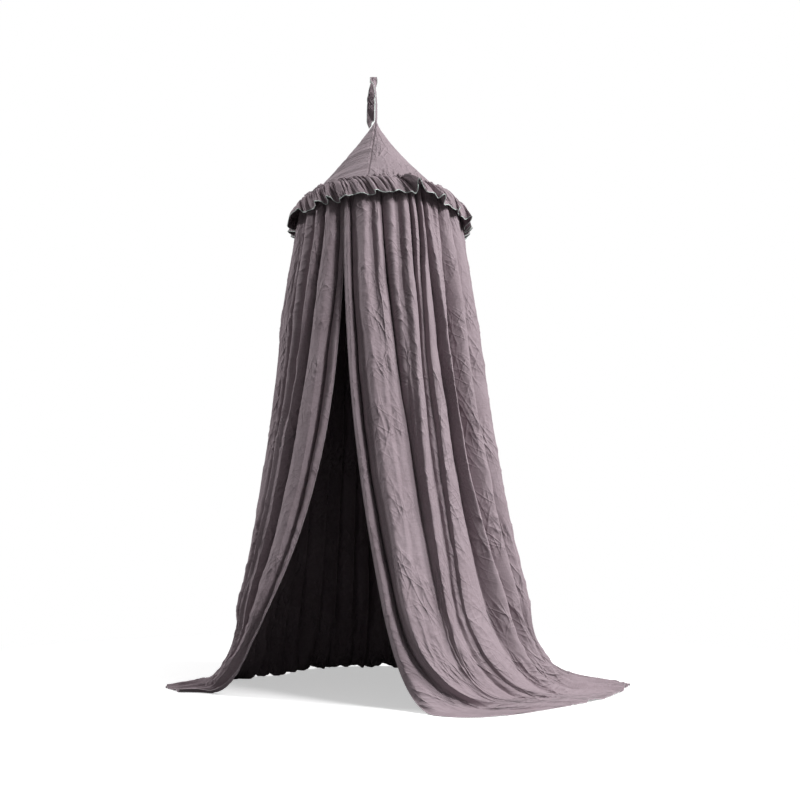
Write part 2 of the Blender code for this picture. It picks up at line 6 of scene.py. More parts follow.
import bpy
import numpy as np
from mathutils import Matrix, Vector

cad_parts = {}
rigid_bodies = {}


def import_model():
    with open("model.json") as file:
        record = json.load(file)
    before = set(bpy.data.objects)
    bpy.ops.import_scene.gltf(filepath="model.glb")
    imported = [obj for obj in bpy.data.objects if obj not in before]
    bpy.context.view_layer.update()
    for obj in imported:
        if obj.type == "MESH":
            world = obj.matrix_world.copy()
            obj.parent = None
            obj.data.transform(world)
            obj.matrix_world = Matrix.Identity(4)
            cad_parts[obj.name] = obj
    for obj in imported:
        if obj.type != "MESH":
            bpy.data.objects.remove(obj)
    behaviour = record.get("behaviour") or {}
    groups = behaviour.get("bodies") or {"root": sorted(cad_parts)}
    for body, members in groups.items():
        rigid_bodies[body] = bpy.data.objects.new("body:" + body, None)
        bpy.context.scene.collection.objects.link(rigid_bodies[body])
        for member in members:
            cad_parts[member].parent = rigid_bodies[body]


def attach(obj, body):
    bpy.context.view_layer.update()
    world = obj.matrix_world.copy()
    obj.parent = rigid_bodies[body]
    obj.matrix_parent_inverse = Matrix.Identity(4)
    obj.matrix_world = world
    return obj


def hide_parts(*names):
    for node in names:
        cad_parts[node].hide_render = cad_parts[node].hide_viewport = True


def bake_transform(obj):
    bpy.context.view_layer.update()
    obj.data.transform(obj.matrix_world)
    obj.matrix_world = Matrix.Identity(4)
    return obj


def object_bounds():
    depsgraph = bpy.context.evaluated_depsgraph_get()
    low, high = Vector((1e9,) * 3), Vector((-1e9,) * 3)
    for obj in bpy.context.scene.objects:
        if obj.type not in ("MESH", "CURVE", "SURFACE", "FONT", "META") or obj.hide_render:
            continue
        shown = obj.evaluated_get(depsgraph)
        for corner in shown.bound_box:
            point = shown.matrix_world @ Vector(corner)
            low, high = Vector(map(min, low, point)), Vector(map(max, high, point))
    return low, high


# The canopy's own sizes, as in its frame. Turns go round the hoop's centre: 0 is the front, 90 the right.
LOOP_DROP = 0.17
CONE_HEIGHT = 0.35
HOOP_HEIGHT = 1.54
HOOP_RADIUS = 0.25
APEX_SHIFT = 0.008
HOOP_SHIFT = 0.021
HEADING_RISE = 0.0035
CURTAIN_TOP_RADIUS = 0.262117
CONE_FOOT_RADIUS = 0.261617
CONE_TIP_RADIUS = 0.004
CONE_SEAM_TURN = -8.6
CONE_PIECES = (("cone_cloth_right", CONE_SEAM_TURN, 61), ("cone_cloth_left", CONE_SEAM_TURN + 180.0, 62))
CONE_COLUMNS = 145
CONE_SEAM_DEPTH = 0.0030
CONE_SEAM_WIDTH = 0.0028
CONE_LIP_HEIGHT = 0.0009
CONE_LIP_PLACE = 0.006
CONE_LIP_WIDTH = 0.003
CONE_PUCKER_DEPTH = 0.0011
CONE_PUCKER_REACH = 0.016
CONE_PULL_DEPTH = 0.0024
CONE_PULL_REACH = 0.07
CONE_FOOT_DEPTH = 0.0016
CONE_RIGHT_SAG = 0.26
CONE_LEFT_SAG = 0.10
CONE_CROSS = 0.305
CONE_CROSS_WIDTH = 0.0035
CONE_CROSS_DEPTH = 0.0024
CHANNEL_RADIUS = 0.0091
CLOTH_THICKNESS = 0.0025
FOOT_RADIUS = 0.46
SPILL_REACH = 0.30
CORNER_HEIGHT = 0.24
CORNER_RUN = 0.17
BENT_SPILL_SHARE = 0.55
LEADING_TURN = -23.5
RIGHT_SEAM_TURN = 128.0
LEFT_SEAM_TURN = 232.0
FULL_TURN = 360.0
APEX_Z = -LOOP_DROP
HOOP_Z = APEX_Z - CONE_HEIGHT
FLOOR_Z = HOOP_Z - HOOP_HEIGHT
CONE_FOOT_Z = HOOP_Z + HEADING_RISE + 0.0014
PATH_STEPS = 60

# How the curtain hangs at each turn. Columns: turn at the hoop, turn at the floor, reach there as a share
# of FOOT_RADIUS, power that times the turning, power that times the reach, spill on the floor as a share of
# SPILL_REACH, the way the spill points as a turn, and how far it bows sideways as a share of its length.
DRAPE_SHARES = np.array(
    [
        (LEADING_TURN, 9.5, 0.85, 1.60, 1.00, 1.00, 82.0, 0.25),
        (10.0, 24.0, 0.90, 1.3, 1.00, 1.10, 99.0, 0.12),
        (32.0, 41.0, 0.95, 1.2, 1.05, 1.10, 107.0, 0.04),
        (58.0, 62.0, 1.00, 1.0, 1.22, 1.00, 108.0, 0.00),
        (80.0, 80.0, 1.03, 1.0, 1.38, 0.98, 105.0, 0.00),
        (96.0, 94.0, 1.03, 1.0, 1.38, 1.02, 101.0, 0.00),
        (108.0, 106.0, 1.00, 1.0, 1.27, 0.72, 107.0, 0.00),
        (118.0, 117.0, 0.98, 1.0, 1.14, 0.28, 117.0, 0.00),
        (RIGHT_SEAM_TURN, 127.0, 0.96, 1.0, 1.00, 0.00, 127.0, 0.00),
        (145.0, 144.0, 0.96, 1.0, 1.00, 0.22, 144.0, 0.00),
        (180.0, 179.0, 0.96, 1.0, 1.00, 0.30, 179.0, 0.00),
        (215.0, 213.0, 0.96, 1.0, 1.00, 0.22, 213.0, 0.00),
        (LEFT_SEAM_TURN, 230.0, 0.96, 1.0, 1.00, 0.00, 230.0, 0.00),
        (248.0, 241.0, 0.95, 1.1, 1.12, 0.27, 245.0, 0.00),
        (265.0, 251.0, 0.92, 1.3, 1.20, 0.50, 264.0, 0.00),
        (285.0, 261.0, 0.95, 1.6, 1.40, 0.68, 268.0, 0.00),
        (305.0, 269.0, 0.97, 2.0, 1.58, 0.70, 270.0, 0.00),
        (322.0, 279.0, 0.96, 2.5, 1.50, 0.62, 262.0, 0.00),
        (LEADING_TURN + FULL_TURN, 289.5, 0.99, 3.6, 1.80, 0.56, 250.0, 0.10),
    ]
)

# Levels down the cloth: 0 at the hoop, 1 where it starts to bend onto the floor, 2 at the hem. Then, at the
# stand levels, how far crests stand out and valleys in, and how much a valley closes to a crevice.
LEVELS = np.array((0.0, 0.15, 0.3, 0.45, 0.6, 0.75, 0.9, 1.0, 1.2, 1.4, 1.7, 2.0))
STAND_LEVELS = np.array((0.0, 0.05, 0.12, 0.25, 0.45, 0.7, 0.9, 1.0, 1.2, 1.5, 1.85, 2.0))
STAND_OUT = np.array((0.009, 0.017, 0.021, 0.025, 0.029, 0.032, 0.032, 0.031, 0.027, 0.021, 0.012, 0.006))
STAND_IN = np.array((0.003, 0.016, 0.021, 0.025, 0.028, 0.028, 0.025, 0.020, 0.009, 0.002, 0.000, 0.000))
CREVICE_SHARES = np.array((0.90, 0.90, 0.90, 0.90, 0.85, 0.78, 0.68, 0.58, 0.42, 0.28, 0.12, 0.00))

# How folds are worked out: steps of the grid, when a valley is deep, how far from the front a line is moved
# to where it is seen, and two bulges at the sides
COARSE_TURN = 0.7
SEWN_TURN = 0.9
HANGING_ROWS = 226
FLOOR_ROWS = 80
DEEP_STAND = 5.0
DEEP_FADE = 72.0
CORRECTED_TURN = 26.0
CORRECTED_FADE = 22.0
MOST_CORRECTION = 3.2
LEAST_GAP = 0.7
NEAR_TURN = 9.0
BULGE_LEVELS = (0.27, 0.99)
BULGE_SPREADS = (0.15, 0.11)
BULGE_OUTS = (0.011, 0.010)

# Each piece's random seed, columns a fold, width as sewn and flat size. Folds that the photograph doesn't
# show are random: their first or last turn, seed and spacing, then their gaps, drift and stand-outs.
CURTAIN_SEEDS = {"right_curtain": 100, "left_curtain": 200, "back_curtain": 300}
CURTAIN_STEPS = {"right_curtain": 9, "left_curtain": 9, "back_curtain": 8}
CURTAIN_CUTS = {"right_curtain": 1.30, "left_curtain": 0.95, "back_curtain": 0.95}
RIGHT_RANDOM = (75.0, 11, 4.4)
LEFT_RANDOM = (291.0, 12, 4.8)
BACK_RANDOM = (13, 4.6)
RANDOM_GAPS = (0.7, 1.35)
RANDOM_DRIFT = 0.3
RANDOM_CRESTS = (82, 104)
RANDOM_VALLEYS = (-5, 35)
STITCH_ROW = -9

# One stitch: its points along it, to its sides and out of the cloth, then its pitch, length and thickness
STITCH_SHAPE = (
    (-0.5, 0.0, 0.0), (-0.25, 1.0, 0.5), (0.25, 1.0, 0.5), (0.5, 0.0, 0.0),
    (0.25, -1.0, 0.5), (-0.25, -1.0, 0.5), (-0.25, 0.0, 1.5), (0.25, 0.0, 1.5),
)
STITCH_SIZES = (0.0046, 0.0034, 0.00042)
STITCH_FACES = ((0, 1, 6, 5), (1, 2, 7, 6), (2, 3, 4, 7), (5, 6, 7, 4))

# Overlocking: how wide and thick it is, and how far its loops lie apart
CURTAIN_THREAD = (0.0024, 0.0022, 0.0025)
RUFFLE_THREAD = (0.0032, 0.0028, 0.0024)
TAPE_THREAD = (0.0022, 0.0026, 0.0022)

# Small forms of the curtain's cloth. Dents: width, length and depth. Wrinkles: the way they lean, width,
# length, depth, their share everywhere and what is added to it low down.
SOFT_DENTS = ((0.13, 0.30, 0.0022), (0.05, 0.12, 0.0012))
FLOOR_DENTS = ((0.050, 0.40, 0.012), (0.022, 0.12, 0.004))
SWAY_DENTS = ((0.16, 0.28, 0.004), (0.05, 0.11, 0.0015))
CONE_DENTS = ((0.09, 0.13, 0.0016), (0.03, 0.05, 0.0004))
WRINKLES = (
    (4.0, 0.040, 0.34, 0.0034, 1.0, 0.0),
    (27.0, 0.045, 0.22, 0.0030, 0.6, 0.8),
    (-24.0, 0.050, 0.20, 0.0026, 0.7, 0.5),
    (48.0, 0.022, 0.07, 0.0016, 1.0, 0.0),
)
WRINKLE_LOW = (0.55, 0.60)
TIP_TURN = 62.0
TIP_FADE = 16.0
TIP_SHARE = 1.1

# Fine gathers under the hoop, in metres and degrees, and the curtain's edge, foot and top
GATHER_DEPTH = 0.0040
GATHER_STARTS = (0.5, 2.0)
GATHER_WIDTHS = (0.55, 1.15)
GATHER_DEPTH_SHARES = (0.4, 1.0)
GATHER_SIGNS = (1.0, 1.0, -0.7)
GATHER_ENDS = (0.10, 0.34)
GATHER_DRIFT = 1.6
GATHER_WIDENING = 1.6
GATHER_GAPS = (1.5, 3.6)
EDGE_TURN = 1.2
EDGE_SHARE = 0.25
FLOOR_DIP = 0.0012
FLOOR_GAP = 0.0011
HEADING_LEVEL = 0.02
WIDTH_LEVEL = 0.45

# The folds at the front. Each row: the turns that a fold's line passes at LEVELS, then how far it stands
# out there, in hundredths of the way from valley to crest.
RIGHT_LINES = (
    ((LEADING_TURN,) * 12,
     (60, 60, 55, 55, 55, 52, 38, 22, 5, 2, 2, 5)),
    ((-22.5, -22, -22, -22, -22, -22, -21.5, -21, -19.5, -17.5, -16, -16),
     (75, 80, 80, 80, 75, 72, 72, 76, 74, 62, 45, 20)),
    ((-20, -19.5, -18, -17, -17, -16.5, -15, -13.5, -8.5, 3, 10, 12),
     (20, 0, -10, -18, -22, -25, -25, -25, -20, -5, 5, 10)),
    ((-18.5, -17.5, -16.5, -15, -14.5, -14, -12.5, -10.5, -6, 5, 12, 15),
     (40, 45, 55, 60, 60, 60, 62, 65, 70, 60, 30, 15)),
    ((-12.5, -11.5, -11, -10, -9.5, -8.5, -7, -5.5, -1, 7.5, 16, 19),
     (95, 95, 100, 100, 100, 104, 108, 112, 120, 115, 60, 20)),
    ((-6, -5.5, -4.5, -4, -3.5, -2, -0.5, 1.5, 5, 12, 20, 23),
     (45, 55, 75, 86, 90, 94, 96, 98, 95, 80, 50, 20)),
    ((-3, -2.5, -2, -1, 0, 1.5, 3.5, 5.5, 8.5, 15, 22, 25),
     (85, 85, 84, 74, 70, 72, 78, 84, 80, 70, 60, 25)),
    ((0.5, 1.5, 3, 4.5, 7, 9.5, 13, 15, 16.5, 19.5, 25, 28),
     (10, -5, -10, -5, 0, 10, 30, 50, 55, 60, 50, 20)),
    ((6, 6.5, 8, 9.5, 10, 11.5, 14.5, 16, 18, 21, 26, 29.5),
     (90, 85, 78, 60, 30, 32, 50, 62, 62, 66, 60, 25)),
    ((10.5, 12, 12, 12, 12, 13, 15.5, 17, 19, 22.5, 27.5, 31),
     (45, 50, 62, 66, 62, 60, 70, 76, 74, 74, 65, 30)),
    ((16.5, 16, 16.5, 16, 15.5, 15.5, 17, 18, 20.5, 24.5, 29.5, 33),
     (100, 98, 98, 96, 92, 88, 88, 88, 85, 80, 75, 35)),
    ((19, 19, 19, 19, 19, 20, 21.5, 22.5, 25.5, 30, 35, 38),
     (25, 20, 22, 30, 34, 40, 46, 50, 45, 35, 20, 10)),
    ((21.5, 22, 21.5, 21, 21, 22, 23, 24.5, 28, 32.5, 37, 40),
     (92, 85, 60, 48, 50, 55, 60, 64, 62, 60, 45, 18)),
    ((24, 24, 23, 22.5, 23, 23.5, 24.5, 26, 30, 34.5, 39, 42),
     (25, 25, 50, 47, 49, 54, 59, 63, 61, 59, 44, 17)),
    ((26, 26.5, 25.5, 24.5, 24.5, 25, 26, 27.5, 31.5, 36.5, 41, 44),
     (100, 90, 88, 86, 88, 84, 82, 82, 88, 95, 85, 40)),
    ((29, 28, 29, 29.5, 31, 33, 37, 41, 46.5, 50.5, 54, 56),
     (20, 20, 20, 15, 12, 10, 10, 10, 10, 15, 15, 5)),
    ((32, 34, 35, 36, 36.5, 39, 43.5, 48, 53, 57, 60.5, 63),
     (92, 98, 102, 104, 104, 104, 104, 100, 104, 108, 98, 35)),
    ((36.5, 37.5, 38, 37.5, 38.5, 41, 46, 50.5, 56, 60, 63, 65.5),
     (40, 72, 62, 58, 60, 62, 64, 62, 62, 62, 56, 20)),
    ((39.5, 39.5, 39, 38.5, 39.5, 42, 47, 52, 57, 61.5, 64.5, 67),
     (90, 70, 44, 40, 46, 48, 50, 48, 46, 44, 42, 15)),
    ((43, 42, 41, 40, 40.5, 43.5, 48, 53, 58.5, 63, 66, 68),
     (14, 10, 4, 0, 4, 10, 14, 16, 16, 14, 12, 5)),
    ((48.5, 48.5, 48, 47, 47.5, 49.5, 54, 57.5, 64, 69, 72.5, 75),
     (98, 104, 110, 112, 108, 106, 104, 104, 106, 108, 94, 30)),
    ((54.5, 55, 54, 53.5, 53.5, 55, 58, 61, 68.5, 75, 79, 81),
     (26, 20, 12, 8, 8, 10, 10, 8, 6, 8, 10, 5)),
    ((60, 63, 64.5, 64, 63, 62, 63, 66, 74, 81, 86, 88),
     (94, 100, 108, 112, 112, 110, 108, 106, 110, 116, 108, 30)),
    ((70, 72, 74, 74, 73, 70.5, 69.5, 71.5, 78.5, 86, 91, 93),
     (24, 18, 12, 8, 6, 0, -8, -14, -10, 0, 8, 5)),
)
LEFT_LINES = (
    ((292, 293, 294, 295.5, 297.5, 299, 300, 300, 299, 298, 297, 296),
     (40, 30, 15, 10, 10, 10, 10, 12, 12, 10, 5, 5)),
    ((293.5, 295, 297, 299.5, 303, 305.5, 307.5, 308, 307, 305, 303, 302),
     (50, 70, 88, 94, 96, 96, 95, 95, 95, 98, 85, 30)),
    ((295.5, 298.5, 300.5, 303.5, 307, 310, 312, 312.5, 311.5, 309.5, 307.5, 306.5),
     (0, -10, -18, -24, -26, -26, -22, -15, 0, 5, 5, 5)),
    ((300.5, 302, 304, 307, 311.5, 314, 316, 316.5, 316.5, 316, 315, 314.5),
     (85, 92, 96, 100, 102, 102, 100, 98, 98, 100, 90, 30)),
    ((309, 309, 310, 311, 313.5, 315.5, 317, 318, 318, 318, 317.5, 317.5),
     (20, 5, 15, 52, 80, 84, 82, 78, 70, 60, 40, 15)),
    ((315.5, 315, 314, 314, 315.5, 317, 318.5, 319, 319.5, 320, 320, 320),
     (90, 92, 90, 84, 82, 80, 78, 78, 76, 80, 70, 25)),
    ((321, 320, 319, 318.5, 319, 319.5, 320.5, 321.5, 322, 322.5, 322.5, 322.5),
     (10, 0, -8, -10, -14, -16, -12, -5, 5, 10, 10, 5)),
    ((324.5, 325, 325, 326.5, 327.5, 328.5, 330, 330.5, 330, 328.5, 327.5, 327),
     (95, 96, 98, 102, 102, 100, 98, 95, 90, 85, 70, 25)),
    ((332, 333, 332.5, 330.5, 330, 330, 331, 332, 331.5, 331, 331, 330.5),
     (15, 5, 12, 22, 30, 36, 40, 45, 40, 25, 15, 5)),
    ((334.5, 335, 335, 334, 333, 333, 333.5, 334, 334, 334, 334, 334),
     (50, 55, 70, 80, 80, 78, 75, 75, 60, 45, 35, 15)),
    ((LEADING_TURN + FULL_TURN,) * 12,
     (55, 55, 60, 66, 66, 64, 62, 60, 50, 35, 25, 10)),
)

# The ruffle's lower edge as the photograph shows it, from the left to the right, in the photograph's pixels
RUFFLE_EDGE_PIXELS = (
    (287.5, 225.5), (288.5, 219.5), (291.5, 213.5), (295, 210.5), (297.5, 208.5), (300, 209.5), (303, 212),
    (305.5, 212), (308, 210.5), (311.5, 209.5), (314.5, 207.5), (315.5, 204), (314.5, 201.5), (318, 201),
    (321.5, 202), (325, 204), (327.5, 203.5), (328, 200.5), (326, 196.5), (328.5, 196.5), (331, 197.5),
    (333.5, 200.5), (337.5, 202.5), (340, 202.5), (340, 199), (343, 196.5), (345.5, 194.5), (348, 195.5),
    (353, 194.5), (358, 193), (363, 192.5), (367.5, 194.5), (371.5, 194.5), (375, 193.5), (375, 190),
    (378, 189.5), (380, 191), (384.5, 192), (389.5, 191.5), (393.5, 192), (396, 190.5), (398.5, 189.5),
    (401.5, 190.5), (405, 192.5), (408.5, 192), (411, 191), (413, 191.5), (415, 193.5), (417, 192),
    (418, 188), (418, 182), (419, 178.5), (420.5, 179.5), (423, 184.5), (425.5, 190), (428.5, 192),
    (434.5, 193), (436, 195.5), (438.5, 198), (441, 196.5), (444.5, 194.5), (445.5, 196.5), (444.5, 202),
    (444.5, 205), (448.5, 204.5), (451.5, 207), (455.5, 209.5), (458.5, 208), (460.5, 207), (458, 212),
    (459, 215.5), (462, 216.5), (465, 219.5), (468, 217.5), (472, 216.5), (466.5, 225.5), (464.5, 228),
    (465, 232.5), (469.5, 229.5), (471, 225),
)

# The ruffle: its seam, how far its edge drops, how it hangs, and how deep its swells, ridges and pleats are
RUFFLE_SEAM_RADIUS = 0.267
RUFFLE_SEAM_Z = HOOP_Z + 0.008
RUFFLE_DROPS = np.array((0.062, 0.068, 0.074, 0.080))
RUFFLE_SEEN_TURN = 112.0
RUFFLE_MOST_HANG = 76.0
RUFFLE_HANG = 28.0
RUFFLE_BULGE = 0.010
RUFFLE_PUFF = 0.0070
RUFFLE_PLEAT = 0.0118
RUFFLE_HEADER = 0.018
RUFFLE_FINE = 0.011
RUFFLE_WIDE = 0.05
RUFFLE_FOLD = 0.024
RUFFLE_RIDGE = (2.8, 0.7, 1.6, 0.85)
RUFFLE_SEAM_OUTS = (0.004, 0.0052)
RUFFLE_WIDE_DEPTHS = (0.0030, 0.004)
RUFFLE_FINE_DEPTHS = (0.0020, 0.0022)
RUFFLE_HEADER_LEAN = (1.5, 0.5)
RUFFLE_HEADER_RISE = 0.75
RUFFLE_CREASE_DEPTH = 0.0012
RUFFLE_SMOOTHING = 36
RUFFLE_SLANT = 7.5
RUFFLE_LAST_GAP = 9.0
RUFFLE_WAVES = (((3.0, 6.5), (8.0, 20.0)), ((-0.8, 1.4), (30.0, 44.0)), ((1.5, 4.0), (26.0, 40.0)))
RUFFLE_ROWS = 20
RUFFLE_HEADER_ANGLES = (165.0, 130.0, 95.0, 60.0, 25.0)
PUFF_TURN = 31.0
PUFF_SPREAD = 3.6
PUFF_DEPTH = 0.0060

# The hoop's channel and the hanging tape
CHANNEL_MOUTH = 0.060
CHANNEL_COLUMNS = 620
CHANNEL_SIDES = 18
TAPE_WIDTH = 0.025
TAPE_THICKNESS = 0.002
TAPE_BEND_RADIUS = 0.011
TAPE_SEWN_DROP = 0.018
TAPE_TURN = 75.0
TAPE_TWISTS = (52.0, 70.0)
TAPE_BOWS = (0.0048, 0.0040)
TAPE_KINK = 0.0020
TAPE_KINK_PLACE = 0.36
TAPE_CUP = 0.0009
TAPE_DENT = 0.0008

# The camera that took the photograph, and the floor
SENSOR_WIDTH = 36.0
PICTURE_SIZE = 800
CAMERA_BACK = 2.632
CAMERA_UP = 0.385
CAMERA_TILT = 11.04
CAMERA_LENS = 36.9
CAMERA_SHIFT = 0.0256
FLOOR_HALF = 30.0
FLOOR_COLOUR = (0.86, 0.86, 0.86, 1.0)
FLOOR_LIFT = 0.50
FLOOR_BOUNCE = (0.22, 0.22, 0.22, 1.0)
FLOOR_FADE = (2.25, 2.9)
WORLD_STRENGTH = 0.15
LAMP_AIM = (0.0, 0.0, -1.1)

# Each lamp's name, place, aim, size and watts
LAMPS = (
    ("right_lamp", (3.6, -1.1, 0.7), LAMP_AIM, 1.0, 108.0),
    ("front_lamp", (2.6, -2.65, 1.2), LAMP_AIM, 1.0, 112.0),
    ("left_lamp", (-3.4, 0.5, 0.9), LAMP_AIM, 0.8, 92.0),
    ("top_lamp", (1.3, -1.2, 2.6), (0.3, -0.3, -1.6), 1.0, 20.0),
)
FLOOR_LAMP = ("floor_lamp", (2.4, -2.3, 0.2), (0.42, -0.36, -2.0), 0.5, 210.0)
FLOOR_LAMP_ANGLE = 26.0


def new_random(seed):
    return np.random.default_rng(seed)


def ease(share):
    kept = np.clip(share, 0.0, 1.0)
    return kept * kept * (3.0 - 2.0 * kept)


def noise(x, y, seed):
    """Smooth noise over a plane, from about -1 to 1."""
    angles = new_random(seed).uniform(0.0, math.tau, (256, 256))
    x0, y0 = np.floor(x).astype(int), np.floor(y).astype(int)
    fx, fy = x - x0, y - y0
    sx = fx**3 * (fx * (fx * 6.0 - 15.0) + 10.0)
    sy = fy**3 * (fy * (fy * 6.0 - 15.0) + 10.0)

    def corner(i, j):
        angle = angles[(x0 + i) % 256, (y0 + j) % 256]
        return np.cos(angle) * (fx - i) + np.sin(angle) * (fy - j)

    low = corner(0, 0) + (corner(1, 0) - corner(0, 0)) * sx
    high = corner(0, 1) + (corner(1, 1) - corner(0, 1)) * sx
    return 1.5 * (low + (high - low) * sy)


def creases(x, y, lean_deg, wide, long, seed):
    """Thin raised creases, from 0 to 1, in a cloth's own metres. They run down it, turned by lean_deg."""
    lean = math.radians(lean_deg)
    bend = noise(x / 0.25, y / 0.25, seed + 1) * 0.021
    across = x * math.cos(lean) + y * math.sin(lean) + bend
    down = -x * math.sin(lean) + y * math.cos(lean)
    value = noise(across / wide, down / long, seed)
    ridge = np.clip(1.0 - np.abs(value) * 4.0, 0.0, 1.0)
    there = ease(noise(x / 0.11 + 7.0, y / 0.17, seed + 2) * 1.6 + 0.25)
    return ridge**1.5 * there


def dents(x, y, layers, seed, step=1):
    """Layers of smooth noise over a cloth, each with its width, length and depth."""
    total = 0.0
    for k, (wide, long, deep) in enumerate(layers):
        total = total + noise(x / wide, y / long, seed + step * k) * deep
    return total


def hermite(levels, rows, wanted):
    """Rows of values at levels, smoothly read at wanted levels."""
    slopes = np.gradient(rows, levels, axis=-1)
    k = np.clip(np.searchsorted(levels, wanted) - 1, 0, len(levels) - 2)
    width = levels[k + 1] - levels[k]
    t = np.clip((wanted - levels[k]) / width, 0.0, 1.0)
    first, last = rows[..., k], rows[..., k + 1]
    leave, arrive = slopes[..., k] * width, slopes[..., k + 1] * width
    start = t**3 - 2 * t**2 + t
    return first + (last - first) * ease(t) + leave * start + arrive * (t**3 - t**2)


def round_hoop(turn, reach, z):
    angle = np.radians(turn)
    x, y, z = np.broadcast_arrays(HOOP_SHIFT + reach * np.sin(angle), -reach * np.cos(angle), z)
    return np.stack((x, y, z), axis=-1)


def towards(turn):
    angle = np.radians(turn)
    return np.stack((np.sin(angle), -np.cos(angle), np.zeros_like(angle)), axis=-1)


def cloth_paths(turns):
    """The cloth's ways down and out over the floor at several turns, as close points."""
    drape = hermite(DRAPE_SHARES[:, 0], DRAPE_SHARES.T, turns)[..., None]
    foot_turn, foot_share, turn_power, reach_power = drape[1:5]
    spill = np.maximum(drape[5], 0.0) * SPILL_REACH
    side_bow = drape[7]
    height = HOOP_HEIGHT - CLOTH_THICKNESS
    corner = 1.0 - CORNER_HEIGHT / height
    turns = turns[:, None]

    def hanging(share):
        now = turns + (foot_turn - turns) * share**turn_power
        reach = CURTAIN_TOP_RADIUS + (foot_share * FOOT_RADIUS - CURTAIN_TOP_RADIUS) * share**reach_power
        return round_hoop(now, reach, HOOP_Z - share * height)

    foot = hanging(np.ones(1))

    def on_floor(run):
        part = (run / np.maximum(spill, 1e-6))[..., None]
        way = towards(drape[6]) * run[..., None]
        bow = (side_bow * spill)[..., None] * 4.0 * part * (1.0 - part)
        return foot + way + towards(drape[6] - 90.0) * bow

    bent = np.minimum(CORNER_RUN * (1.0 - 2.0 * np.abs(side_bow)), spill * BENT_SPILL_SHARE)
    share = np.arange(PATH_STEPS) / PATH_STEPS
    b = share[None, :, None]
    start, end = hanging(np.full(1, corner)), on_floor(bent)
    middle = start * (1 - b) ** 2 + foot * 2 * b * (1 - b) + end * b**2
    last = on_floor(bent + (spill - bent) * np.arange(PATH_STEPS + 1) / PATH_STEPS)
    return np.concatenate((hanging(corner * share), middle, last), axis=1)


def run_along(points):
    """How far along a path each of its points lies."""
    return np.concatenate(((0.0,), np.cumsum(np.linalg.norm(np.diff(points, axis=0), axis=1))))


def base_grid(turns, levels):
    """The unfolded curtain at turns and levels, with each point's distance down the cloth."""
    grid = np.zeros((len(turns), len(levels), 3))
    down = np.zeros((len(turns), len(levels)))
    for i, path in enumerate(cloth_paths(turns)):
        runs = run_along(path)
        corner = runs[PATH_STEPS]
        down[i] = np.where(levels <= 1.0, levels * corner, corner + (levels - 1.0) * (runs[-1] - corner))
        grid[i] = np.stack([np.interp(down[i], runs, path[:, k]) for k in range(3)], axis=1)
    return grid, down


def grid_normals(grid):
    """Unit normals of a grid, columns first, pointing out of the canopy and up off the floor."""
    across = np.gradient(grid, axis=0)
    down = np.gradient(grid, axis=1)
    normals = np.cross(down, across)
    return normals / np.maximum(np.linalg.norm(normals, axis=2, keepdims=True), 1e-12)


def unit(vectors):
    return vectors / np.maximum(np.linalg.norm(vectors, axis=-1, keepdims=True), 1e-12)


def random_lines(first, last, seed, spacing):
    """Fold lines where the photograph shows none: crests and valleys in turn, unevenly spaced."""
    random = new_random(seed)
    gaps = []
    while sum(gaps) < last - first:
        gaps.append(spacing * random.uniform(*RANDOM_GAPS))
    if len(gaps) % 2:
        gaps.append(spacing)
    places = first + np.cumsum(gaps) * (last - first) / sum(gaps)
    rows = []
    for k, place in enumerate(places[:-1]):
        drift = random.uniform(-RANDOM_DRIFT, RANDOM_DRIFT) * spacing
        drift = drift * np.sin(LEVELS * random.uniform(1.0, 2.6) + random.uniform(0, 6))
        if k % 2 == 0:
            stand = random.uniform(*RANDOM_CRESTS) * np.where(LEVELS < 1.9, 1.0, 0.5)
        else:
            stand = random.uniform(*RANDOM_VALLEYS) * np.ones_like(LEVELS)
        rows.append((place + drift, stand))
    return rows


def gathers(turns, levels, first, last, seed):
    """Short fine gathers under the hoop, as a share of their depth."""
    random = new_random(seed)
    field = np.zeros_like(turns)
    place = first + random.uniform(*GATHER_STARTS)
    while place < last - GATHER_STARTS[0]:
        wide = random.uniform(*GATHER_WIDTHS)
        deep = random.uniform(*GATHER_DEPTH_SHARES) * random.choice(GATHER_SIGNS)
        end = random.uniform(*GATHER_ENDS)
        drift = random.uniform(-GATHER_DRIFT, GATHER_DRIFT) * levels / end
        spread = wide * (1.0 + GATHER_WIDENING * levels / end)
        field += deep * (1.0 - ease(levels / end)) * np.exp(-(((turns - place - drift) / spread) ** 2))
        place += random.uniform(*GATHER_GAPS)
    return field


def wrinkles(x, y, levels, seed):
    """Soft dents, long creases down the cloth and slanting drag lines, in metres out of the cloth."""
    low = ease((levels - WRINKLE_LOW[0]) / WRINKLE_LOW[1])
    total = dents(x, y, SOFT_DENTS, seed, 10)
    for k, (lean, wide, long, deep, always, more) in enumerate(WRINKLES):
        total = total + creases(x, y, lean, wide, long, seed + 20 + 10 * k) * deep * (always + more * low)
    return total


def seen_across(points):
    """How far right of the picture's middle the camera of the photograph sees points."""
    tilt = math.radians(CAMERA_TILT)
    deep = (points[..., 1] + CAMERA_BACK) * math.cos(tilt)
    deep = deep + (points[..., 2] - FLOOR_Z - CAMERA_UP) * math.sin(tilt)
    return (points[..., 0] - HOOP_SHIFT) / deep


def smooth_line(row, reach):
    """A line of values smoothed along its length, which takes reach of them off each end."""
    kernel = np.hanning(reach * 2 + 3)[1:-1]
    return np.convolve(row, kernel / kernel.sum(), mode="valid")


def smoothed(rows, reach):
    padded = np.pad(rows, ((0, 0), (reach, reach)), mode="edge")
    return np.stack([smooth_line(row, reach) for row in padded])


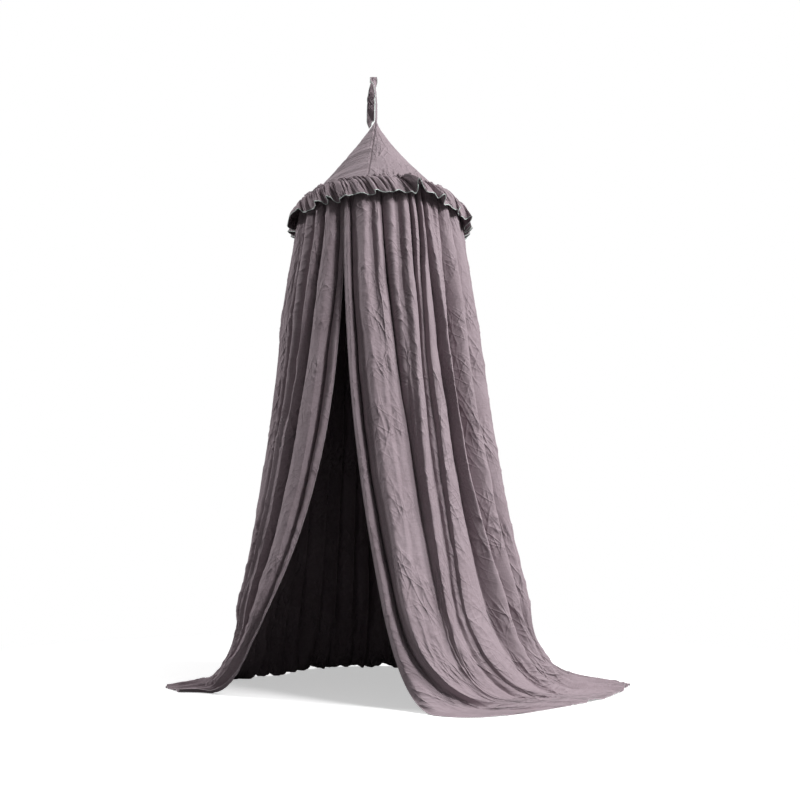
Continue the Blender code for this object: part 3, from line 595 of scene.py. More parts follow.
def stood_places(turns, base, normals, places, outs):
    """Turns at which fold lines must run so that, standing out by outs, they are seen where marked."""
    moves = np.zeros_like(places)
    flat = seen_across(base)
    for k in range(len(places)):
        around = np.abs((places[k] + 180.0) % FULL_TURN - 180.0)
        share = 1.0 - ease((around - CORRECTED_TURN) / CORRECTED_FADE)
        between_ends = turns[0] + 0.2 < places[k].min() and places[k].max() < turns[-1] - 0.2
        if not share.max() > 0.0 or not between_ends:
            continue
        seen = seen_across(base + normals * outs[k][None, :, None])
        for j in np.flatnonzero(share):
            target = np.interp(places[k, j], turns, flat[:, j])
            near = np.abs(turns - places[k, j]) < NEAR_TURN
            rising = np.maximum.accumulate(seen[near, j] + np.arange(near.sum()) * 1e-6)
            moves[k, j] = share[j] * (np.interp(target, rising, turns[near]) - places[k, j])
    moves = np.clip(moves, -MOST_CORRECTION, MOST_CORRECTION)
    fixed = places + smoothed(moves, 12)
    for k in range(1, len(fixed)):
        fixed[k] = np.maximum(fixed[k], fixed[k - 1] + LEAST_GAP)
    return smoothed(fixed, 6)


def at_turns(grid, turns, wanted):
    """A grid's rows read at other turns: wanted holds turns for each column and level."""
    out = np.zeros((*wanted.shape, grid.shape[2]))
    for j in range(wanted.shape[1]):
        for k in range(grid.shape[2]):
            out[:, j, k] = np.interp(wanted[:, j], turns, grid[:, j, k])
    return out


def folded(lines, places, outs, levels, steps):
    """Turns and stand-out of columns along the folds. Deep valleys close to narrow crevices."""
    crisp = hermite(STAND_LEVELS, CREVICE_SHARES, levels)
    turn_rows, out_rows = [], []
    for k in range(len(lines) - 1):
        rising = (lines[k + 1][1][3] + lines[k + 1][1][5]) > (lines[k][1][3] + lines[k][1][5])
        valley = k if rising else k + 1
        stand = hermite(LEVELS, np.array(lines[valley][1], float), levels)
        depth = np.clip(1.0 - (stand - DEEP_STAND) / DEEP_FADE, 0.0, 1.0)
        mix = crisp * depth
        for i in range(steps):
            u = i / steps
            share = u if rising else 1.0 - u
            way = mix * (1.0 - math.cos(share * math.pi / 2)) + (1.0 - mix) * share
            high = mix * math.sin(share * math.pi / 2) + (1.0 - mix) * float(ease(share))
            if not rising:
                way, high = 1.0 - way, 1.0 - high
            turn_rows.append(places[k] + (places[k + 1] - places[k]) * way)
            out_rows.append(outs[k] + (outs[k + 1] - outs[k]) * high)
    turn_rows.append(places[-1])
    out_rows.append(outs[-1])
    return np.array(turn_rows), np.array(out_rows)


def curtain_surface(first, last, lines, seed, steps, flat_width):
    """Points and map of one curtain piece with all its folds."""
    on_floor = np.linspace(1.0, 2.0, FLOOR_ROWS + 1)[1:]
    levels = np.concatenate((np.linspace(0.0, 1.0, HANGING_ROWS), on_floor))
    coarse = np.linspace(first - COARSE_TURN, last + COARSE_TURN, int((last - first) / COARSE_TURN) + 3)
    base, down = base_grid(coarse, levels)
    normals = grid_normals(base)
    crest = hermite(STAND_LEVELS, STAND_OUT, levels)
    valley = hermite(STAND_LEVELS, STAND_IN, levels)
    places = hermite(LEVELS, np.array([line[0] for line in lines], float), levels)
    stands = hermite(LEVELS, np.array([line[1] for line in lines], float) / 100.0, levels)
    outs = stands * (crest + valley) - valley
    places = stood_places(coarse, base, normals, places, outs)
    places[0], places[-1] = first, last
    turns, out = folded(lines, places, outs, levels, steps)
    every = at_turns(np.concatenate((base, normals, down[..., None]), axis=2), coarse, turns)
    points, ways, down = every[..., :3], unit(every[..., 3:6]), every[..., 6]
    row = int(len(levels) * WIDTH_LEVEL)
    plain = points[:, row] + ways[:, row] * out[:, row, None]
    spans = np.linalg.norm(np.diff(plain, axis=0, prepend=plain[:1]), axis=1)
    x = np.cumsum(spans)[:, None] / spans.sum() * flat_width + np.zeros_like(down)
    sewn = ease(np.minimum(np.abs(turns - RIGHT_SEAM_TURN), np.abs(turns - LEFT_SEAM_TURN)) / SEWN_TURN)
    out += gathers(turns, levels, first, last, seed + 70) * GATHER_DEPTH * sewn
    aside = np.sin(np.radians(turns)) ** 2
    for level, spread, high in zip(BULGE_LEVELS, BULGE_SPREADS, BULGE_OUTS):
        out += aside * high * np.exp(-(((levels - level) / spread) ** 2))
    inside = ease((turns - first) / EDGE_TURN) * ease((last - turns) / EDGE_TURN)
    fade = ease(levels / 0.06) * (1.0 - 0.5 * ease((levels - 1.8) / 0.2))
    out += wrinkles(x, down, levels, seed) * fade * (EDGE_SHARE + (1.0 - EDGE_SHARE) * inside) * sewn
    lying = ease((levels - 1.2) / 0.3) * (1.0 - 0.4 * ease((levels - 1.85) / 0.15))
    lying = lying * (1.0 + TIP_SHARE * ease((turns - TIP_TURN) / TIP_FADE)) * sewn
    out += dents(x, down, FLOOR_DENTS, seed + 90) * lying
    sway = dents(x, down, SWAY_DENTS, seed + 60) * inside * ease(levels / 0.1)
    side = unit(np.cross(ways, np.array((0.0, 0.0, 1.0))))
    grid = points + ways * out[..., None] + side * sway[..., None]
    lowered = grid[..., 2] - FLOOR_DIP * ease((levels - 1.0) * 4.0)
    grid[..., 2] = np.maximum(lowered, FLOOR_Z + FLOOR_GAP)
    grid[..., 2] += ease(1.0 - levels / HEADING_LEVEL) * HEADING_RISE
    return grid, np.stack((x, down), axis=-1)


def quad_mesh(name, points, quads, finish, corner_uv=None):
    """A smooth mesh of quads, linked into the scene."""
    mesh = bpy.data.meshes.new(name)
    mesh.vertices.add(points.size // 3)
    mesh.vertices.foreach_set("co", points.reshape(-1).astype(np.float32))
    mesh.loops.add(quads.size)
    mesh.loops.foreach_set("vertex_index", quads.reshape(-1).astype(np.int32))
    mesh.polygons.add(len(quads))
    mesh.polygons.foreach_set("loop_start", np.arange(0, quads.size, quads.shape[1], dtype=np.int32))
    if corner_uv is not None:
        layer = mesh.uv_layers.new(name="cloth")
        layer.data.foreach_set("uv", corner_uv.reshape(-1).astype(np.float32))
    mesh.update(calc_edges=True)
    mesh.validate()
    mesh.shade_smooth()
    mesh.materials.append(finish)
    made = bpy.data.objects.new(name, mesh)
    bpy.context.scene.collection.objects.link(made)
    return made


def cells(values):
    """The four corners of every cell of a grid of values, in order round the cell."""
    return np.stack((values[:-1, :-1], values[:-1, 1:], values[1:, 1:], values[1:, :-1]), axis=2)


def grid_mesh(name, grid, uv, finish, closed=False):
    """A smooth mesh over a grid of points, columns first, facing out."""
    columns, rows = grid.shape[:2]
    index = np.arange(columns * rows).reshape(columns, rows)
    if closed:
        index = np.concatenate((index, index[:1]))
        uv = np.concatenate((uv, uv[-1:] + np.array((uv[1, 0, 0] - uv[0, 0, 0], 0.0))))
    return quad_mesh(name, grid, cells(index).reshape(-1, 4), finish, cells(uv))


def ring_mesh(name, rings, finish):
    """A tube through rings of points."""
    index = np.arange(rings.shape[0] * rings.shape[1]).reshape(rings.shape[:2])
    index = np.concatenate((index, index[:, :1]), axis=1)
    return quad_mesh(name, rings, cells(index).reshape(-1, 4), finish)


def even_points(points, step):
    """Points spaced evenly along a path, with any values that follow their three places."""
    runs = run_along(points[:, :3])
    wanted = np.linspace(0.0, runs[-1], max(int(runs[-1] / step), 2) + 1)
    return np.stack([np.interp(wanted, runs, points[:, k]) for k in range(points.shape[1])], axis=1)


def stitch_mesh(name, points, normals, finish):
    """A line of small stitches along points, standing a little out of the cloth."""
    pitch, long, thick = STITCH_SIZES
    both = even_points(np.concatenate((points, normals), axis=1), pitch)
    places, outs = both[:, :3], unit(both[:, 3:])
    ways = unit(np.gradient(places, axis=0))
    sides = np.cross(ways, outs)
    shape = np.array(STITCH_SHAPE)
    points = places[:, None] + ways[:, None] * (shape[:, 0] * long)[None, :, None]
    points = points + sides[:, None] * (shape[:, 1] * thick)[None, :, None]
    points = points + outs[:, None] * (shape[:, 2] * thick)[None, :, None]
    quads = (np.arange(len(places)) * len(shape))[:, None, None] + np.array(STITCH_FACES)[None]
    return quad_mesh(name, points.reshape(-1, 3), quads.reshape(-1, 4), finish)


# Materials

# Layers of small creases in the cloth: the way they run, then their width, length and depth
CREASE_LAYERS = (
    (4.0, 0.055, 0.30, 0.0022), (20.0, 0.034, 0.20, 0.0022), (-17.0, 0.032, 0.18, 0.0019),
    (40.0, 0.024, 0.10, 0.0012), (-50.0, 0.022, 0.08, 0.0009), (6.0, 0.020, 0.13, 0.0012),
)
CREASE_SHARPNESS = 11.0
CREASE_POWER = 1.6
CREASE_PATCHES = (0.38, 0.62)
CREASES_EVERYWHERE = 0.2
THREADS_PER_M = 1500.0
WEAVE_DEPTH = 0.00005
SLUB_SCALES = (900.0, 35.0)
SLUB_DEPTH = 0.00008
CRUMPLE_DEPTH = 0.0009
TONE_SHARES = (0.30, 0.45, 0.25)
TONE_STOPS = (0.34, 0.50, 0.66)
CLOTH_ROUGHNESS = 0.88
CLOTH_COLOURS = ((0.222, 0.172, 0.190), (0.292, 0.234, 0.258), (0.350, 0.288, 0.314))


class Graph:
    """A node tree, with short ways to add nodes. A node's input takes another one's output or a value."""

    def __init__(self, tree):
        self.nodes = tree.nodes
        self.links = tree.links

    def feed(self, made, inputs):
        for key, value in inputs.items():
            if isinstance(value, bpy.types.NodeSocket):
                self.links.new(value, made.inputs[key])
            else:
                made.inputs[key].default_value = value

    def add(self, kind, inputs, output, **values):
        """Add a node and give one of its outputs."""
        made = self.nodes.new("ShaderNode" + kind)
        for key, value in values.items():
            setattr(made, key, value)
        self.feed(made, inputs)
        return made.outputs[output]

    def maths(self, operation, first, second):
        return self.add("Math", {0: first, 1: second}, 0, operation=operation)

    def times(self, first, second):
        return self.maths("MULTIPLY", first, second)

    def plus(self, *terms):
        total = terms[0]
        for term in terms[1:]:
            total = self.maths("ADD", total, term)
        return total

    def mapped(self, source, scale, turn=0.0):
        inputs = {"Vector": source, "Scale": scale, "Rotation": (0.0, 0.0, turn)}
        return self.add("Mapping", inputs, "Vector")

    def noise(self, vector, scale, detail, rough=0.5, twist=0.0):
        inputs = {"Vector": vector, "Scale": scale, "Detail": detail}
        return self.add("TexNoise", {**inputs, "Roughness": rough, "Distortion": twist}, "Fac")

    def smooth_step(self, value, first, last):
        inputs = {"Value": value, "From Min": first, "From Max": last}
        return self.add("MapRange", inputs, "Result", interpolation_type="SMOOTHSTEP")

    def ramp(self, factor, places, colours):
        made = self.nodes.new("ShaderNodeValToRGB")
        elements = made.color_ramp.elements
        elements[0].position, elements[0].color = places[0], (*colours[0], 1.0)
        elements[1].position, elements[1].color = places[-1], (*colours[-1], 1.0)
        for place, colour in zip(places[1:-1], colours[1:-1]):
            elements.new(place).color = (*colour, 1.0)
        self.feed(made, {"Fac": factor})
        return made.outputs["Color"]

    def bump(self, height, strength, distance):
        return self.add("Bump", {"Height": height, "Strength": strength, "Distance": distance}, "Normal")

    def mix(self, share, first, second):
        return self.add("MixShader", {0: share, 1: first, 2: second}, 0)


def new_material(name):
    made = bpy.data.materials.new(name)
    made.use_nodes = True
    return made, Graph(made.node_tree), made.node_tree.nodes["Principled BSDF"]


def shades(colour, dark, light):
    """A darker, the plain and a lighter shade of a colour."""
    return tuple(c * dark for c in colour), colour, tuple(min(c * light, 1.0) for c in colour)


def crease_height(graph, plane, turn_deg, wide, long, deep):
    """Height of sharp little creases that run along one direction of the cloth, in metres."""
    turned = graph.mapped(plane, (1.0, 1.0, 1.0), math.radians(turn_deg))
    value = graph.noise(graph.mapped(turned, (1.0 / wide, 1.0 / long, 1.0)), 1.0, 0.6, 0.5, 0.15)
    off = graph.maths("ABSOLUTE", graph.maths("SUBTRACT", value, 0.5), 0.0)
    ridge = graph.maths("SUBTRACT", 1.0, graph.times(off, CREASE_SHARPNESS))
    return graph.times(graph.maths("POWER", graph.maths("MAXIMUM", ridge, 0.0), CREASE_POWER), deep)


def cloth_material(name):
    """Plain-weave cotton: an over-and-under weave, slubs along both threads, mottling and sharp creases."""
    made, graph, shader = new_material(name)
    plane = graph.add("UVMap", {}, "UV", uv_map="cloth")
    across, along = SLUB_SCALES
    slub_down = graph.noise(graph.mapped(plane, (across, along, 1.0)), 1.0, 2.0)
    slub_over = graph.noise(graph.mapped(plane, (along, across, 1.0)), 1.0, 2.0)
    slubs = graph.times(graph.plus(slub_down, slub_over), 0.5)
    tones = (graph.noise(plane, 5.0, 4.0), slubs, graph.noise(plane, 140.0, 3.0, 0.6))
    tone = graph.plus(*(graph.times(part, share) for part, share in zip(tones, TONE_SHARES)))
    waves = []
    for turn in (0.0, math.pi / 2):
        place = graph.mapped(plane, (1.0, 1.0, 1.0), turn)
        inputs = {"Vector": place, "Scale": THREADS_PER_M / 20.0, "Distortion": 0.6, "Detail": 1.0}
        bands = {"wave_type": "BANDS", "bands_direction": "X", "wave_profile": "SIN"}
        waves.append(graph.add("TexWave", inputs, "Fac", **bands))
    weave = graph.times(graph.times(*waves), WEAVE_DEPTH)
    there = graph.smooth_step(graph.noise(plane, 7.0, 1.0), *CREASE_PATCHES)
    sharp = graph.plus(*(crease_height(graph, plane, *layer) for layer in CREASE_LAYERS))
    sharp = graph.times(sharp, graph.plus(there, CREASES_EVERYWHERE))
    crumple = graph.noise(graph.mapped(plane, (1.0, 0.6, 1.0)), 60.0, 3.0, 0.55)
    height = graph.plus(sharp, graph.times(crumple, CRUMPLE_DEPTH), graph.times(slubs, SLUB_DEPTH), weave)
    graph.feed(shader, {
        "Base Color": graph.ramp(tone, TONE_STOPS, CLOTH_COLOURS),
        "Normal": graph.bump(height, 1.0, 1.0),
        "Roughness": graph.plus(graph.times(slubs, 0.10), CLOTH_ROUGHNESS - 0.05),
        "Specular IOR Level": 0.22,
        "Sheen Weight": 0.15,
        "Sheen Roughness": 0.45,
        "Sheen Tint": (0.80, 0.74, 0.78, 1.0),
    })
    return made


def thread_material(name, colour, scale):
    """Sewing thread: short light and dark turns of its fibres."""
    made, graph, shader = new_material(name)
    grain = graph.noise(graph.add("TexCoord", {}, "Object"), scale, 3.0, 0.6)
    graph.feed(shader, {
        "Base Color": graph.ramp(grain, (0.3, 0.5, 0.7), shades(colour, 0.68, 1.22)),
        "Normal": graph.bump(grain, 0.5, 0.0004),
        "Roughness": 0.7,
        "Specular IOR Level": 0.3,
        "Sheen Weight": 0.2,
    })
    return made


def plastic_material(name, colour):
    """Extruded plastic: faintly cloudy, with fine drawn lines."""
    made, graph, shader = new_material(name)
    place = graph.add("TexCoord", {}, "Object")
    cloudy = graph.noise(place, 30.0, 4.0, 0.6)
    drawn = graph.noise(graph.mapped(place, (900.0, 900.0, 60.0)), 1.0, 2.0)
    mixed = graph.plus(graph.times(cloudy, 0.6), graph.times(drawn, 0.4))
    graph.feed(shader, {
        "Base Color": graph.ramp(mixed, (0.35, 0.5, 0.65), shades(colour, 0.86, 1.07)),
        "Normal": graph.bump(mixed, 0.25, 0.0002),
        "Roughness": graph.plus(graph.times(mixed, 0.25), 0.30),
    })
    return made


# Pieces


def thread_edge(name, points, outs, finish, wide, thick, pitch):
    """Overlocking along an edge: a flat tube of thread whose rings swell at each loop."""
    both = even_points(np.concatenate((points, outs), axis=1), pitch / 2)
    places, outs = both[:, :3], both[:, 3:]
    ways = unit(np.gradient(places, axis=0))
    outs = unit(outs - ways * np.sum(outs * ways, axis=1, keepdims=True))
    sides = np.cross(ways, outs)
    angles = np.arange(6) / 6 * math.tau
    swell = np.where(np.arange(len(places)) % 2 == 0, 1.0, 0.78)[:, None, None]
    lean = (np.sin(angles) * pitch * 0.25)[None, :, None] * ways[:, None, :]
    ring = sides[:, None, :] * (np.cos(angles) * wide / 2)[None, :, None]
    ring = ring + outs[:, None, :] * (np.sin(angles) * thick / 2)[None, :, None]
    return ring_mesh(name, places[:, None, :] + ring * swell + lean, finish)


def rounded_line(points, steps):
    """A closed smooth line through given points, as many values each as they have."""
    points = np.asarray(points, float)
    before, after, later = (np.roll(points, step, axis=0) for step in (1, -1, -2))
    out = []
    for i in range(steps):
        t = i / steps
        part = 2 * points + (after - before) * t
        part = part + (2 * before - 5 * points + 4 * after - later) * t**2
        out.append((part + (3 * points - before - 3 * after + later) * t**3) / 2)
    return np.stack(out, axis=1).reshape(-1, points.shape[1])


def picture_place(points):
    """Where the photograph's camera sees points, in its pixels from the upper left corner."""
    tilt = math.radians(CAMERA_TILT)
    back, up = points[..., 1] + CAMERA_BACK, points[..., 2] - FLOOR_Z - CAMERA_UP
    deep = back * math.cos(tilt) + up * math.sin(tilt)
    high = up * math.cos(tilt) - back * math.sin(tilt)
    scale = CAMERA_LENS / SENSOR_WIDTH * PICTURE_SIZE
    across = PICTURE_SIZE * (0.5 - CAMERA_SHIFT) + scale * (points[..., 0] - HOOP_SHIFT) / deep
    return np.stack((across, PICTURE_SIZE / 2 - scale * high / deep), axis=-1)


def hung_edge(turn, hang, drop):
    """A point of the ruffle's lower edge, with its angle from straight down and its way from the seam."""
    angle = np.radians(hang)
    return round_hoop(turn, RUFFLE_SEAM_RADIUS + drop * np.sin(angle), RUFFLE_SEAM_Z - drop * np.cos(angle))


def ruffle_edge():
    """The ruffle's lower edge as turn, hang angle and drop. The front follows the photograph."""
    turns = np.arange(-RUFFLE_SEEN_TURN, RUFFLE_SEEN_TURN, 0.5)
    hangs = np.arange(0.0, RUFFLE_MOST_HANG, 2.0)
    turns, hangs, drops = np.meshgrid(turns, hangs, RUFFLE_DROPS, indexing="ij")
    seen = picture_place(hung_edge(turns, hangs, drops))
    worse = (hangs / RUFFLE_HANG - 1.0) ** 2 * 0.1 + ((drops - RUFFLE_DROPS[2]) / 0.012) ** 2 * 0.1
    edge = []
    for pixel in RUFFLE_EDGE_PIXELS:
        far = ((seen - np.array(pixel)) ** 2).sum(axis=-1) + worse
        best = np.unravel_index(np.argmin(far), far.shape)
        edge.append((turns[best], hangs[best], drops[best]))
    random = new_random(41)
    turn = edge[-1][0]
    while turn < FULL_TURN + edge[0][0] - RUFFLE_LAST_GAP:
        for gaps, angles in RUFFLE_WAVES:
            turn += random.uniform(*gaps)
            edge.append((turn, random.uniform(*angles), RUFFLE_DROPS[2]))
    edge = np.array(edge)
    angle = np.radians(edge[:, 0])
    line = rounded_line(np.column_stack((np.sin(angle), np.cos(angle), edge[:, 1:])), 8)
    turn = np.unwrap(np.arctan2(line[:, 0], line[:, 1]))
    return np.degrees(turn), line[:, 2], line[:, 3]


def add_ruffle(parts):
    """The gathered strip round the hoop, with its header, slanting pleats and overlocking on both edges."""
    turn_e, hang, drop = ruffle_edge()
    reach = RUFFLE_SMOOTHING
    around = np.concatenate((turn_e[-reach:] - FULL_TURN, turn_e, turn_e[:reach] + FULL_TURN))
    seam_turn = smooth_line(around, reach) - RUFFLE_SLANT
    lower = hung_edge(turn_e, hang, drop)
    spans = np.linalg.norm(lower - np.roll(lower, 1, axis=0), axis=1)
    run = np.cumsum(spans)
    total = run[-1]
    angle = run / total * math.tau
    ring = np.stack((np.cos(angle), np.sin(angle)), axis=1) * total / math.tau

    def swells(size, seed, shift=0.0):
        return noise(ring[:, 0] / size, ring[:, 1] / size + shift, seed)

    fine = swells(RUFFLE_FINE, 51, 3.0) + 0.7 * swells(RUFFLE_FINE * 2, 52)
    wide = swells(RUFFLE_WIDE, 53)
    steep, power, high, low = RUFFLE_RIDGE
    ridges = high * np.minimum(np.abs(swells(RUFFLE_FOLD, 57)) * steep, 1.0) ** power - low
    puff = RUFFLE_PUFF + RUFFLE_WIDE_DEPTHS[0] * wide + RUFFLE_FINE_DEPTHS[0] * fine
    from_puff = (turn_e + 180.0) % FULL_TURN - 180.0 - PUFF_TURN
    puff = puff + PUFF_DEPTH * np.exp(-((from_puff / PUFF_SPREAD) ** 2))
    rows = []
    for angle in np.radians(RUFFLE_HEADER_ANGLES):
        out = RUFFLE_SEAM_RADIUS + puff * math.cos(angle) + RUFFLE_CREASE_DEPTH * ridges
        z = RUFFLE_SEAM_Z + puff * (RUFFLE_HEADER_RISE + math.sin(angle))
        lean = seam_turn - RUFFLE_HEADER_LEAN[0] - RUFFLE_HEADER_LEAN[1] * math.sin(angle)
        rows.append(round_hoop(lean, out, z))
    seam_out = RUFFLE_SEAM_RADIUS + RUFFLE_SEAM_OUTS[0] + RUFFLE_SEAM_OUTS[1] * ridges
    rows.append(round_hoop(seam_turn, seam_out, RUFFLE_SEAM_Z))
    angle = np.radians(hang)
    for share in np.linspace(0.0, 1.0, RUFFLE_ROWS)[1:]:
        turn = seam_turn + (turn_e - seam_turn) * share**0.9
        bulge = (RUFFLE_BULGE + RUFFLE_WIDE_DEPTHS[1] * wide) * math.sin(math.pi * share**0.62)
        pleat = RUFFLE_PLEAT * ridges * (1 - share) ** 0.6 + RUFFLE_FINE_DEPTHS[1] * fine * (1 - share)
        out = RUFFLE_SEAM_RADIUS + drop * share * np.sin(angle) + bulge * np.cos(angle) + pleat
        z = RUFFLE_SEAM_Z - drop * share * np.cos(angle) + bulge * np.sin(angle)
        rows.append(round_hoop(turn, out, z))
    grid = np.stack(rows, axis=1)
    header = np.linspace(-RUFFLE_HEADER, 0.0, len(RUFFLE_HEADER_ANGLES) + 1)
    down = np.concatenate((header, np.linspace(0.0, RUFFLE_DROPS[2], RUFFLE_ROWS)[1:]))
    x = np.broadcast_to(run[:, None], grid.shape[:2])
    uv = np.stack((x, np.broadcast_to(down, grid.shape[:2])), axis=-1)
    normals = grid_normals(np.concatenate((grid, grid[:1])))[:-1]
    soft = noise(x / 0.030, down[None, :] / 0.05 + 9.0, 54) * RUFFLE_CREASE_DEPTH
    soft = soft + creases(x, down[None, :] + 0 * x, 24.0, 0.02, 0.06, 55) * RUFFLE_CREASE_DEPTH
    grid = grid + normals * (soft * np.clip(down / 0.02, 0, 1)[None, :])[..., None]
    ruffle = grid_mesh("ruffle_cloth", grid, uv, parts["cloth"], closed=True)
    edges = []
    for name, row in (("ruffle_hem_thread", -1), ("ruffle_header_thread", 0)):
        loop = np.concatenate((grid[:, row], grid[:1, row]))
        outs = np.concatenate((normals[:, row], normals[:1, row]))
        edges.append(thread_edge(name, loop, outs, parts["thread"], *RUFFLE_THREAD))
    return ruffle, edges, total


def add_cone(parts):
    """The two halves of the cone, drawn tight, with puckers beside the seam and drag lines at its foot."""
    made = []
    for name, first, seed in CONE_PIECES:
        turns = np.linspace(first, first + 180.0, CONE_COLUMNS)
        shares = np.concatenate((np.linspace(0.0, 0.1, 8)[:-1], np.linspace(0.1, 1.0, 72)))
        turn, share = np.meshgrid(turns, shares, indexing="ij")
        slack = CONE_LEFT_SAG + (CONE_RIGHT_SAG - CONE_LEFT_SAG) * ease(np.sin(np.radians(turn)))
        reach = CONE_TIP_RADIUS + (CONE_FOOT_RADIUS - CONE_TIP_RADIUS) * share ** (1.0 + slack)
        grid = round_hoop(turn, reach, APEX_Z + (CONE_FOOT_Z - APEX_Z) * share)
        grid[..., 0] -= (HOOP_SHIFT - APEX_SHIFT) * (1.0 - share)
        slant = share * math.hypot(CONE_HEIGHT, CONE_FOOT_RADIUS)
        across = np.radians(turn - CONE_SEAM_TURN) * reach
        beside = np.radians(np.minimum(np.abs(turn - first), np.abs(first + 180.0 - turn))) * reach
        groove = -CONE_SEAM_DEPTH * np.exp(-((beside / CONE_SEAM_WIDTH) ** 2))
        groove = groove + CONE_LIP_HEIGHT * np.exp(-(((beside - CONE_LIP_PLACE) / CONE_LIP_WIDTH) ** 2))
        pucker = noise(slant / 0.016, beside / 0.05, seed) * CONE_PUCKER_DEPTH
        pucker = pucker * np.exp(-beside / CONE_PUCKER_REACH)
        pull = creases(across, slant, -52.0, 0.030, 0.13, seed + 5) * CONE_PULL_DEPTH
        pull = pull * np.exp(-beside / CONE_PULL_REACH)
        soft = dents(across, slant, CONE_DENTS, seed + 8)
        foot = noise(across / 0.014, slant / 0.06, seed + 11) * CONE_FOOT_DEPTH * ease((share - 0.90) / 0.1)
        across_seam = np.exp(-((beside / CONE_PUCKER_REACH) ** 2))
        across_seam = across_seam * np.exp(-(((slant - CONE_CROSS) / CONE_CROSS_WIDTH) ** 2))
        groove = groove - CONE_CROSS_DEPTH * across_seam
        tight = ease(share / 0.08)
        out = groove * ease(share / 0.05) + (pucker + pull + soft + foot) * tight
        normals = grid_normals(grid)
        grid = grid + normals * out[..., None]
        piece = grid_mesh(name, grid, np.stack((across, slant), axis=-1), parts["cloth"])
        made.append(piece)
    return made


def add_channel(parts):
    """The lining channel that holds the hoop, gathered a little, open for a hand's width at the back."""
    mouth = math.degrees(CHANNEL_MOUTH / 2 / HOOP_RADIUS)
    turns = np.linspace(180.0 + mouth, 540.0 - mouth, CHANNEL_COLUMNS)
    angles = np.linspace(0.0, math.tau, CHANNEL_SIDES, endpoint=False)
    turn, angle = np.meshgrid(turns, angles, indexing="ij")
    run = np.radians(turn) * HOOP_RADIUS
    size = CHANNEL_RADIUS + 0.0004 + noise(run / 0.010, angle * 0.6, 71) * 0.0007
    size = size + noise(run / 0.03, angle * 0.5, 72) * 0.0005
    grid = round_hoop(turn, HOOP_RADIUS + size * np.cos(angle), HOOP_Z + size * np.sin(angle))
    uv = np.stack((run, angle * CHANNEL_RADIUS), axis=-1)
    grid, uv = grid[:, ::-1], uv[:, ::-1]
    grid = np.concatenate((grid, grid[:, :1]), axis=1)
    uv = np.concatenate((uv, uv[:, :1] - np.array((0.0, math.tau * CHANNEL_RADIUS))), axis=1)
    return grid_mesh("channel_cloth", grid, uv, parts["lining"])


def tape_line():
    """The tape's middle line, with the turn of its width at each point."""
    bend = TAPE_BEND_RADIUS + TAPE_THICKNESS / 2
    top = -TAPE_BEND_RADIUS
    route = []
    for share in np.linspace(0.0, 1.0, 40, endpoint=False):
        place = np.array((APEX_SHIFT * (1 - share), 0.0, APEX_Z * (1 - share) + top * share))
        place += np.array((TAPE_BOWS[0] * math.sin(math.pi * share), -bend * float(ease(2 * share)), 0.0))
        route.append((place, TAPE_TURN * (1.0 - float(ease((share - 0.80) / 0.2)))))
    for angle in np.linspace(0.0, math.pi, 14, endpoint=False):
        route.append((np.array((0.0, -bend * math.cos(angle), top + bend * math.sin(angle))), 0.0))
    sewn = TAPE_SEWN_DROP / CONE_HEIGHT * CONE_FOOT_RADIUS + CONE_TIP_RADIUS + TAPE_THICKNESS
    end = np.array((APEX_SHIFT - sewn, 0.0, APEX_Z - TAPE_SEWN_DROP))
    for share in np.linspace(0.0, 1.0, 46):
        place = np.array((0.0, bend, top)) * (1 - share) + end * share
        place[1] = bend * (1.0 - float(ease(2 * share - 1)))
        place[0] -= TAPE_BOWS[1] * math.sin(math.pi * share**0.8)
        place[0] -= TAPE_KINK * math.exp(-(((share - TAPE_KINK_PLACE) / 0.05) ** 2))
        twist = TAPE_TWISTS[0] * float(ease(share / 0.06) * ease(1.0 - share / 0.32))
        route.append((place, twist - TAPE_TWISTS[1] * float(ease((share - 0.82) / 0.18))))
    return route


def add_tape(parts):
    """The hanging tape: a flat folded strip with soft rounded edges and overlocking along both."""
    route = tape_line()
    places = np.array([place for place, twist in route])
    twists = np.radians([twist for place, twist in route])
    ways = unit(np.gradient(places, axis=0))
    width = np.stack((np.cos(twists), np.sin(twists), np.zeros(len(route))), axis=1)
    width = unit(width - ways * np.sum(width * ways, axis=1, keepdims=True))
    face = np.cross(ways, width)
    run = run_along(places)
    across = np.linspace(-1.0, 1.0, 13)
    cup = (1.0 - across**2) * TAPE_CUP
    uneven = noise(run[:, None] / 0.018 + 0 * across, across * 0.9 + 0 * run[:, None], 81) * TAPE_DENT
    middle = places[:, None] + width[:, None] * (across * TAPE_WIDTH / 2)[None, :, None]
    front = middle + face[:, None] * (cup[None, :] + uneven + TAPE_THICKNESS * 0.3)[..., None]
    back = middle + face[:, None] * (-cup[None, :] * 0.4 + uneven - TAPE_THICKNESS * 0.3)[..., None]
    loop = np.concatenate((front, back[:, ::-1]), axis=1)
    uv_x = np.concatenate((across, 2.0 - across[::-1])) * TAPE_WIDTH / 2
    uv = np.stack(np.broadcast_arrays(uv_x[None, :], run[:, None]), axis=-1)
    loop = np.concatenate((loop, loop[:, :1]), axis=1)
    uv = np.concatenate((uv, uv[:, :1] + np.array((TAPE_WIDTH * 2, 0.0))), axis=1)
    tape = grid_mesh("tape_cloth", loop.transpose(1, 0, 2), uv.transpose(1, 0, 2), parts["tape"])
    edges = []
    for name, side in (("tape_edge_thread_1", -1.0), ("tape_edge_thread_2", 1.0)):
        line = places + width * side * TAPE_WIDTH / 2
        edges.append(thread_edge(name, line, face, parts["thread"], *TAPE_THREAD))
    return tape, edges


